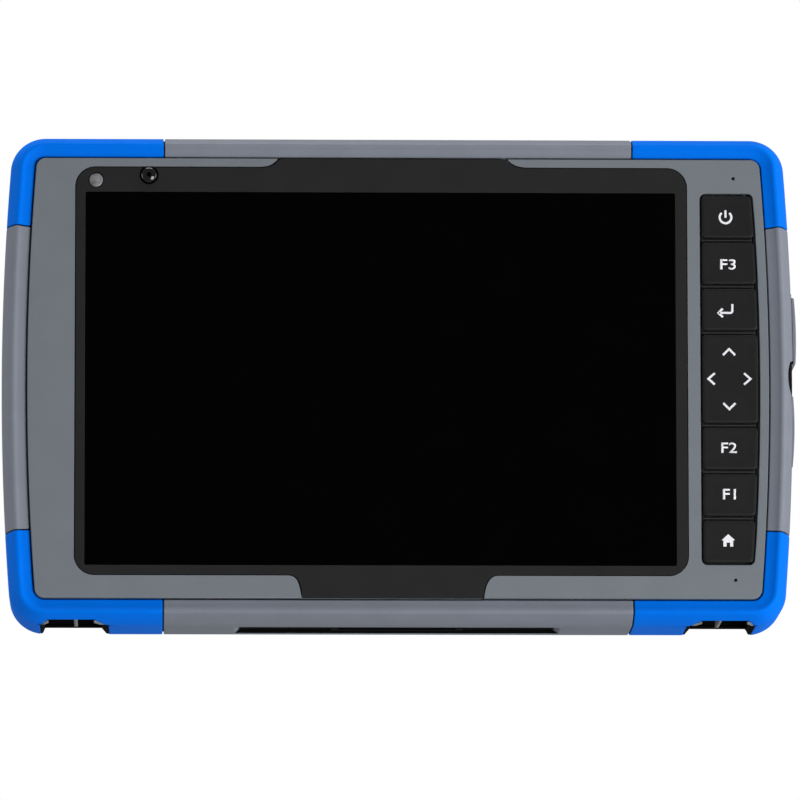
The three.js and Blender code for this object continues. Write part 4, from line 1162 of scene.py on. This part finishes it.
# Four chevrons on the pad.
pad_z = key_middle["direction_pad"]
chevron_up = [(-1.55, -0.75), (0, 0.8), (1.55, -0.75)]
chevron_right = [(-0.8, 1.45), (0.85, 0), (-0.8, -1.45)]
legend(
    "pad_legend",
    "direction_pad",
    [
        moved(stroke(chevron_up), CHEVRONS["x"], pad_z + CHEVRONS["up"]),
        moved(stroke(flipped(chevron_up, 1, -1)), CHEVRONS["x"], pad_z + CHEVRONS["down"]),
        moved(stroke(chevron_right), CHEVRONS["right"], pad_z),
        moved(stroke(flipped(chevron_right, -1, 1)), CHEVRONS["left"], pad_z),
    ],
)
# A plain house for the home key.
house = [(-1.75, 0.1), (0, 1.7), (1.75, 0.1), (1.25, 0.1), (1.25, -1.5), (0.45, -1.5), (0.45, -0.5)]
house += [(-0.45, -0.5), (-0.45, -1.5), (-1.25, -1.5), (-1.25, 0.1)]
legend("home_legend", "home_key", [moved(house[::-1], HOME_X, key_middle["home_key"] + 0.2)])
# Generic labels of the function keys: place, label, height over the key's middle, width.
LABELS = [("upper", "F3", -0.3, 4.0), ("middle", "F2", 0.2, 4.0), ("lower", "F1", 0.2, 3.3)]
LABEL_HEIGHT = 2.7
for place, words, rise, width in LABELS:
    key = place + "_function_key"
    text_legend(place + "_legend", key, words, LABEL_X, key_middle[key] + rise, (width, LABEL_HEIGHT))


# ---------------------------------------------------------------- carried-over CAD nodes
record_slots = {entry["node"]: entry["material_slot"] for entry in frame["record"]["subparts"]}

CAD_EDGES = {
    "rear_case": 0.25,
    "battery_cover": 0.3,
    "battery_latch_left": 0.2,
    "battery_latch_right": 0.2,
    "docking_connector": 0.15,
    "touch_glass": 0.12,
    "keypad_frame": 0.08,
}
CAD_EDGE = 0.1
for name, node in nodes.items():
    # The docking connector takes the same flat black, painted shade, as the dock round it.
    look = "painted_shade_black" if name == "docking_connector" else record_slots[name]
    node.data.materials.clear()
    node.data.materials.append(MATERIALS[look])
    softened(node, CAD_EDGES.get(name, CAD_EDGE), 2, weld=True)


# ---------------------------------------------------------------- floor, world, light, camera
FLOOR = 3.0  # half of its size, m
QUIET_PATCH = (24, 12)  # degrees from its middle at which the patch starts and is complete
WORLD_LEVEL = 0.31
QUIET_DIRECTION = (0, -0.99, 0.14)
# Name, direction, distance in m, size in m, radiance on a white face.
LIGHTS = [
    ("key_softbox", (0.532, -0.76, -0.375), 1.6, (0.9, 0.9), 0.97),
    ("right_softbox", (1, 0, 0), 1.5, (0.8, 1.0), 0.46),
    ("left_softbox", (-1, 0, 0), 1.5, (0.8, 1.0), 0.38),
    ("top_softbox", (0, 0, 1), 1.5, (1.2, 0.8), 0.9),
    ("low_softbox", (0, 0, -1), 1.5, (1.2, 0.8), 0.04),
]


def make_floor():
    """A pale floor that only shows from above."""
    corners = [(-FLOOR, -FLOOR, 0), (FLOOR, -FLOOR, 0), (FLOOR, FLOOR, 0), (-FLOOR, FLOOR, 0)]
    mesh = bpy.data.meshes.new("floor")
    mesh.from_pydata(corners, [], [(0, 1, 2, 3)])
    floor = link("floor", mesh)
    tree, shader = new_material("floor_paper")
    shader.inputs["Base Color"].default_value = srgb(236, 236, 236)
    shader.inputs["Roughness"].default_value = 0.9
    clear = add_node(tree, "ShaderNodeBsdfTransparent")
    side = add_node(tree, "ShaderNodeNewGeometry")
    blend = add_node(tree, "ShaderNodeMixShader")
    tree.links.new(side.outputs["Backfacing"], blend.inputs[0])
    tree.links.new(shader.outputs[0], blend.inputs[1])
    tree.links.new(clear.outputs[0], blend.inputs[2])
    tree.links.new(blend.outputs[0], tree.nodes["Material Output"].inputs[0])
    mesh.materials.append(MATERIALS["floor_paper"])
    floor.visible_diffuse = False
    floor.visible_glossy = False
    floor.visible_transmission = False
    floor.visible_shadow = False


def make_world():
    """White behind the object; as light it is even, apart from a quiet patch in front of the screen."""
    world = bpy.data.worlds.new("studio")
    world.use_nodes = True
    bpy.context.scene.world = world
    tree = world.node_tree
    background = tree.nodes["Background"]
    place = add_node(tree, "ShaderNodeTexCoord")
    aim = add_node(tree, "ShaderNodeVectorMath", operation="DOT_PRODUCT")
    aim.inputs[1].default_value = QUIET_DIRECTION
    tree.links.new(place.outputs["Generated"], aim.inputs[0])
    start, complete = (math.cos(math.radians(angle)) for angle in QUIET_PATCH)
    patch = mapped(tree, aim.outputs["Value"], WORLD_LEVEL, 0.0, start, complete)
    seen = add_node(tree, "ShaderNodeLightPath")
    choose = add_node(tree, "ShaderNodeMix", data_type="FLOAT")
    tree.links.new(seen.outputs["Is Camera Ray"], choose.inputs["Factor"])
    tree.links.new(patch, choose.inputs["A"])
    choose.inputs["B"].default_value = 1.0
    tree.links.new(choose.outputs["Result"], background.inputs["Strength"])
    background.inputs["Color"].default_value = (1, 1, 1, 1)


def soft_light(name, direction, distance, size, level):
    """An area light that gives a white surface facing it the radiance level."""
    light = bpy.data.lights.new(name, "AREA")
    light.shape = "RECTANGLE"
    light.size = size[0]
    light.size_y = size[1]
    light.energy = level * math.pi**2 * distance**2
    lamp = link(name, light)
    lamp.visible_camera = False
    towards = Vector(direction).normalized()
    lamp.location = MIDDLE + towards * distance
    lamp.rotation_euler = towards.to_track_quat("Z", "Y").to_euler()


make_floor()
make_world()
for settings in LIGHTS:
    soft_light(*settings)

CAMERA_ELEVATION = math.radians(-8.156)
CAMERA_AZIMUTH = math.radians(-1.509)
CAMERA_ROLL = math.radians(-0.065)
CAMERA_DISTANCE = 2.306
CAMERA_LENS = 406.6
AIM_RIGHT = 0.38  # mm from the panel's middle
AIM_UP = -5.66


def make_camera():
    camera = bpy.data.cameras.new("camera")
    camera.lens = CAMERA_LENS
    camera.sensor_width = 36
    camera.clip_end = 20
    seen = link("camera", camera)
    flat = math.cos(CAMERA_ELEVATION)
    back = Vector(
        (
            math.sin(CAMERA_AZIMUTH) * flat,
            -math.cos(CAMERA_AZIMUTH) * flat,
            math.sin(CAMERA_ELEVATION),
        )
    )
    right = Vector((math.cos(CAMERA_AZIMUTH), math.sin(CAMERA_AZIMUTH), 0))
    up = back.cross(right)
    target = to_row(0, FACE_Y, 0)
    eye = target + back * CAMERA_DISTANCE
    aim = target + (right * AIM_RIGHT + up * AIM_UP) * MM
    back = (eye - aim).normalized()
    right = up.cross(back).normalized()
    up = back.cross(right)
    rolled = right * math.cos(CAMERA_ROLL) + up * math.sin(CAMERA_ROLL)
    up = back.cross(rolled)
    seen.matrix_world = Matrix.Translation(eye) @ Matrix((rolled, up, back)).transposed().to_4x4()
    bpy.context.scene.camera = seen


make_camera()
bpy.context.scene.view_settings.view_transform = "Standard"
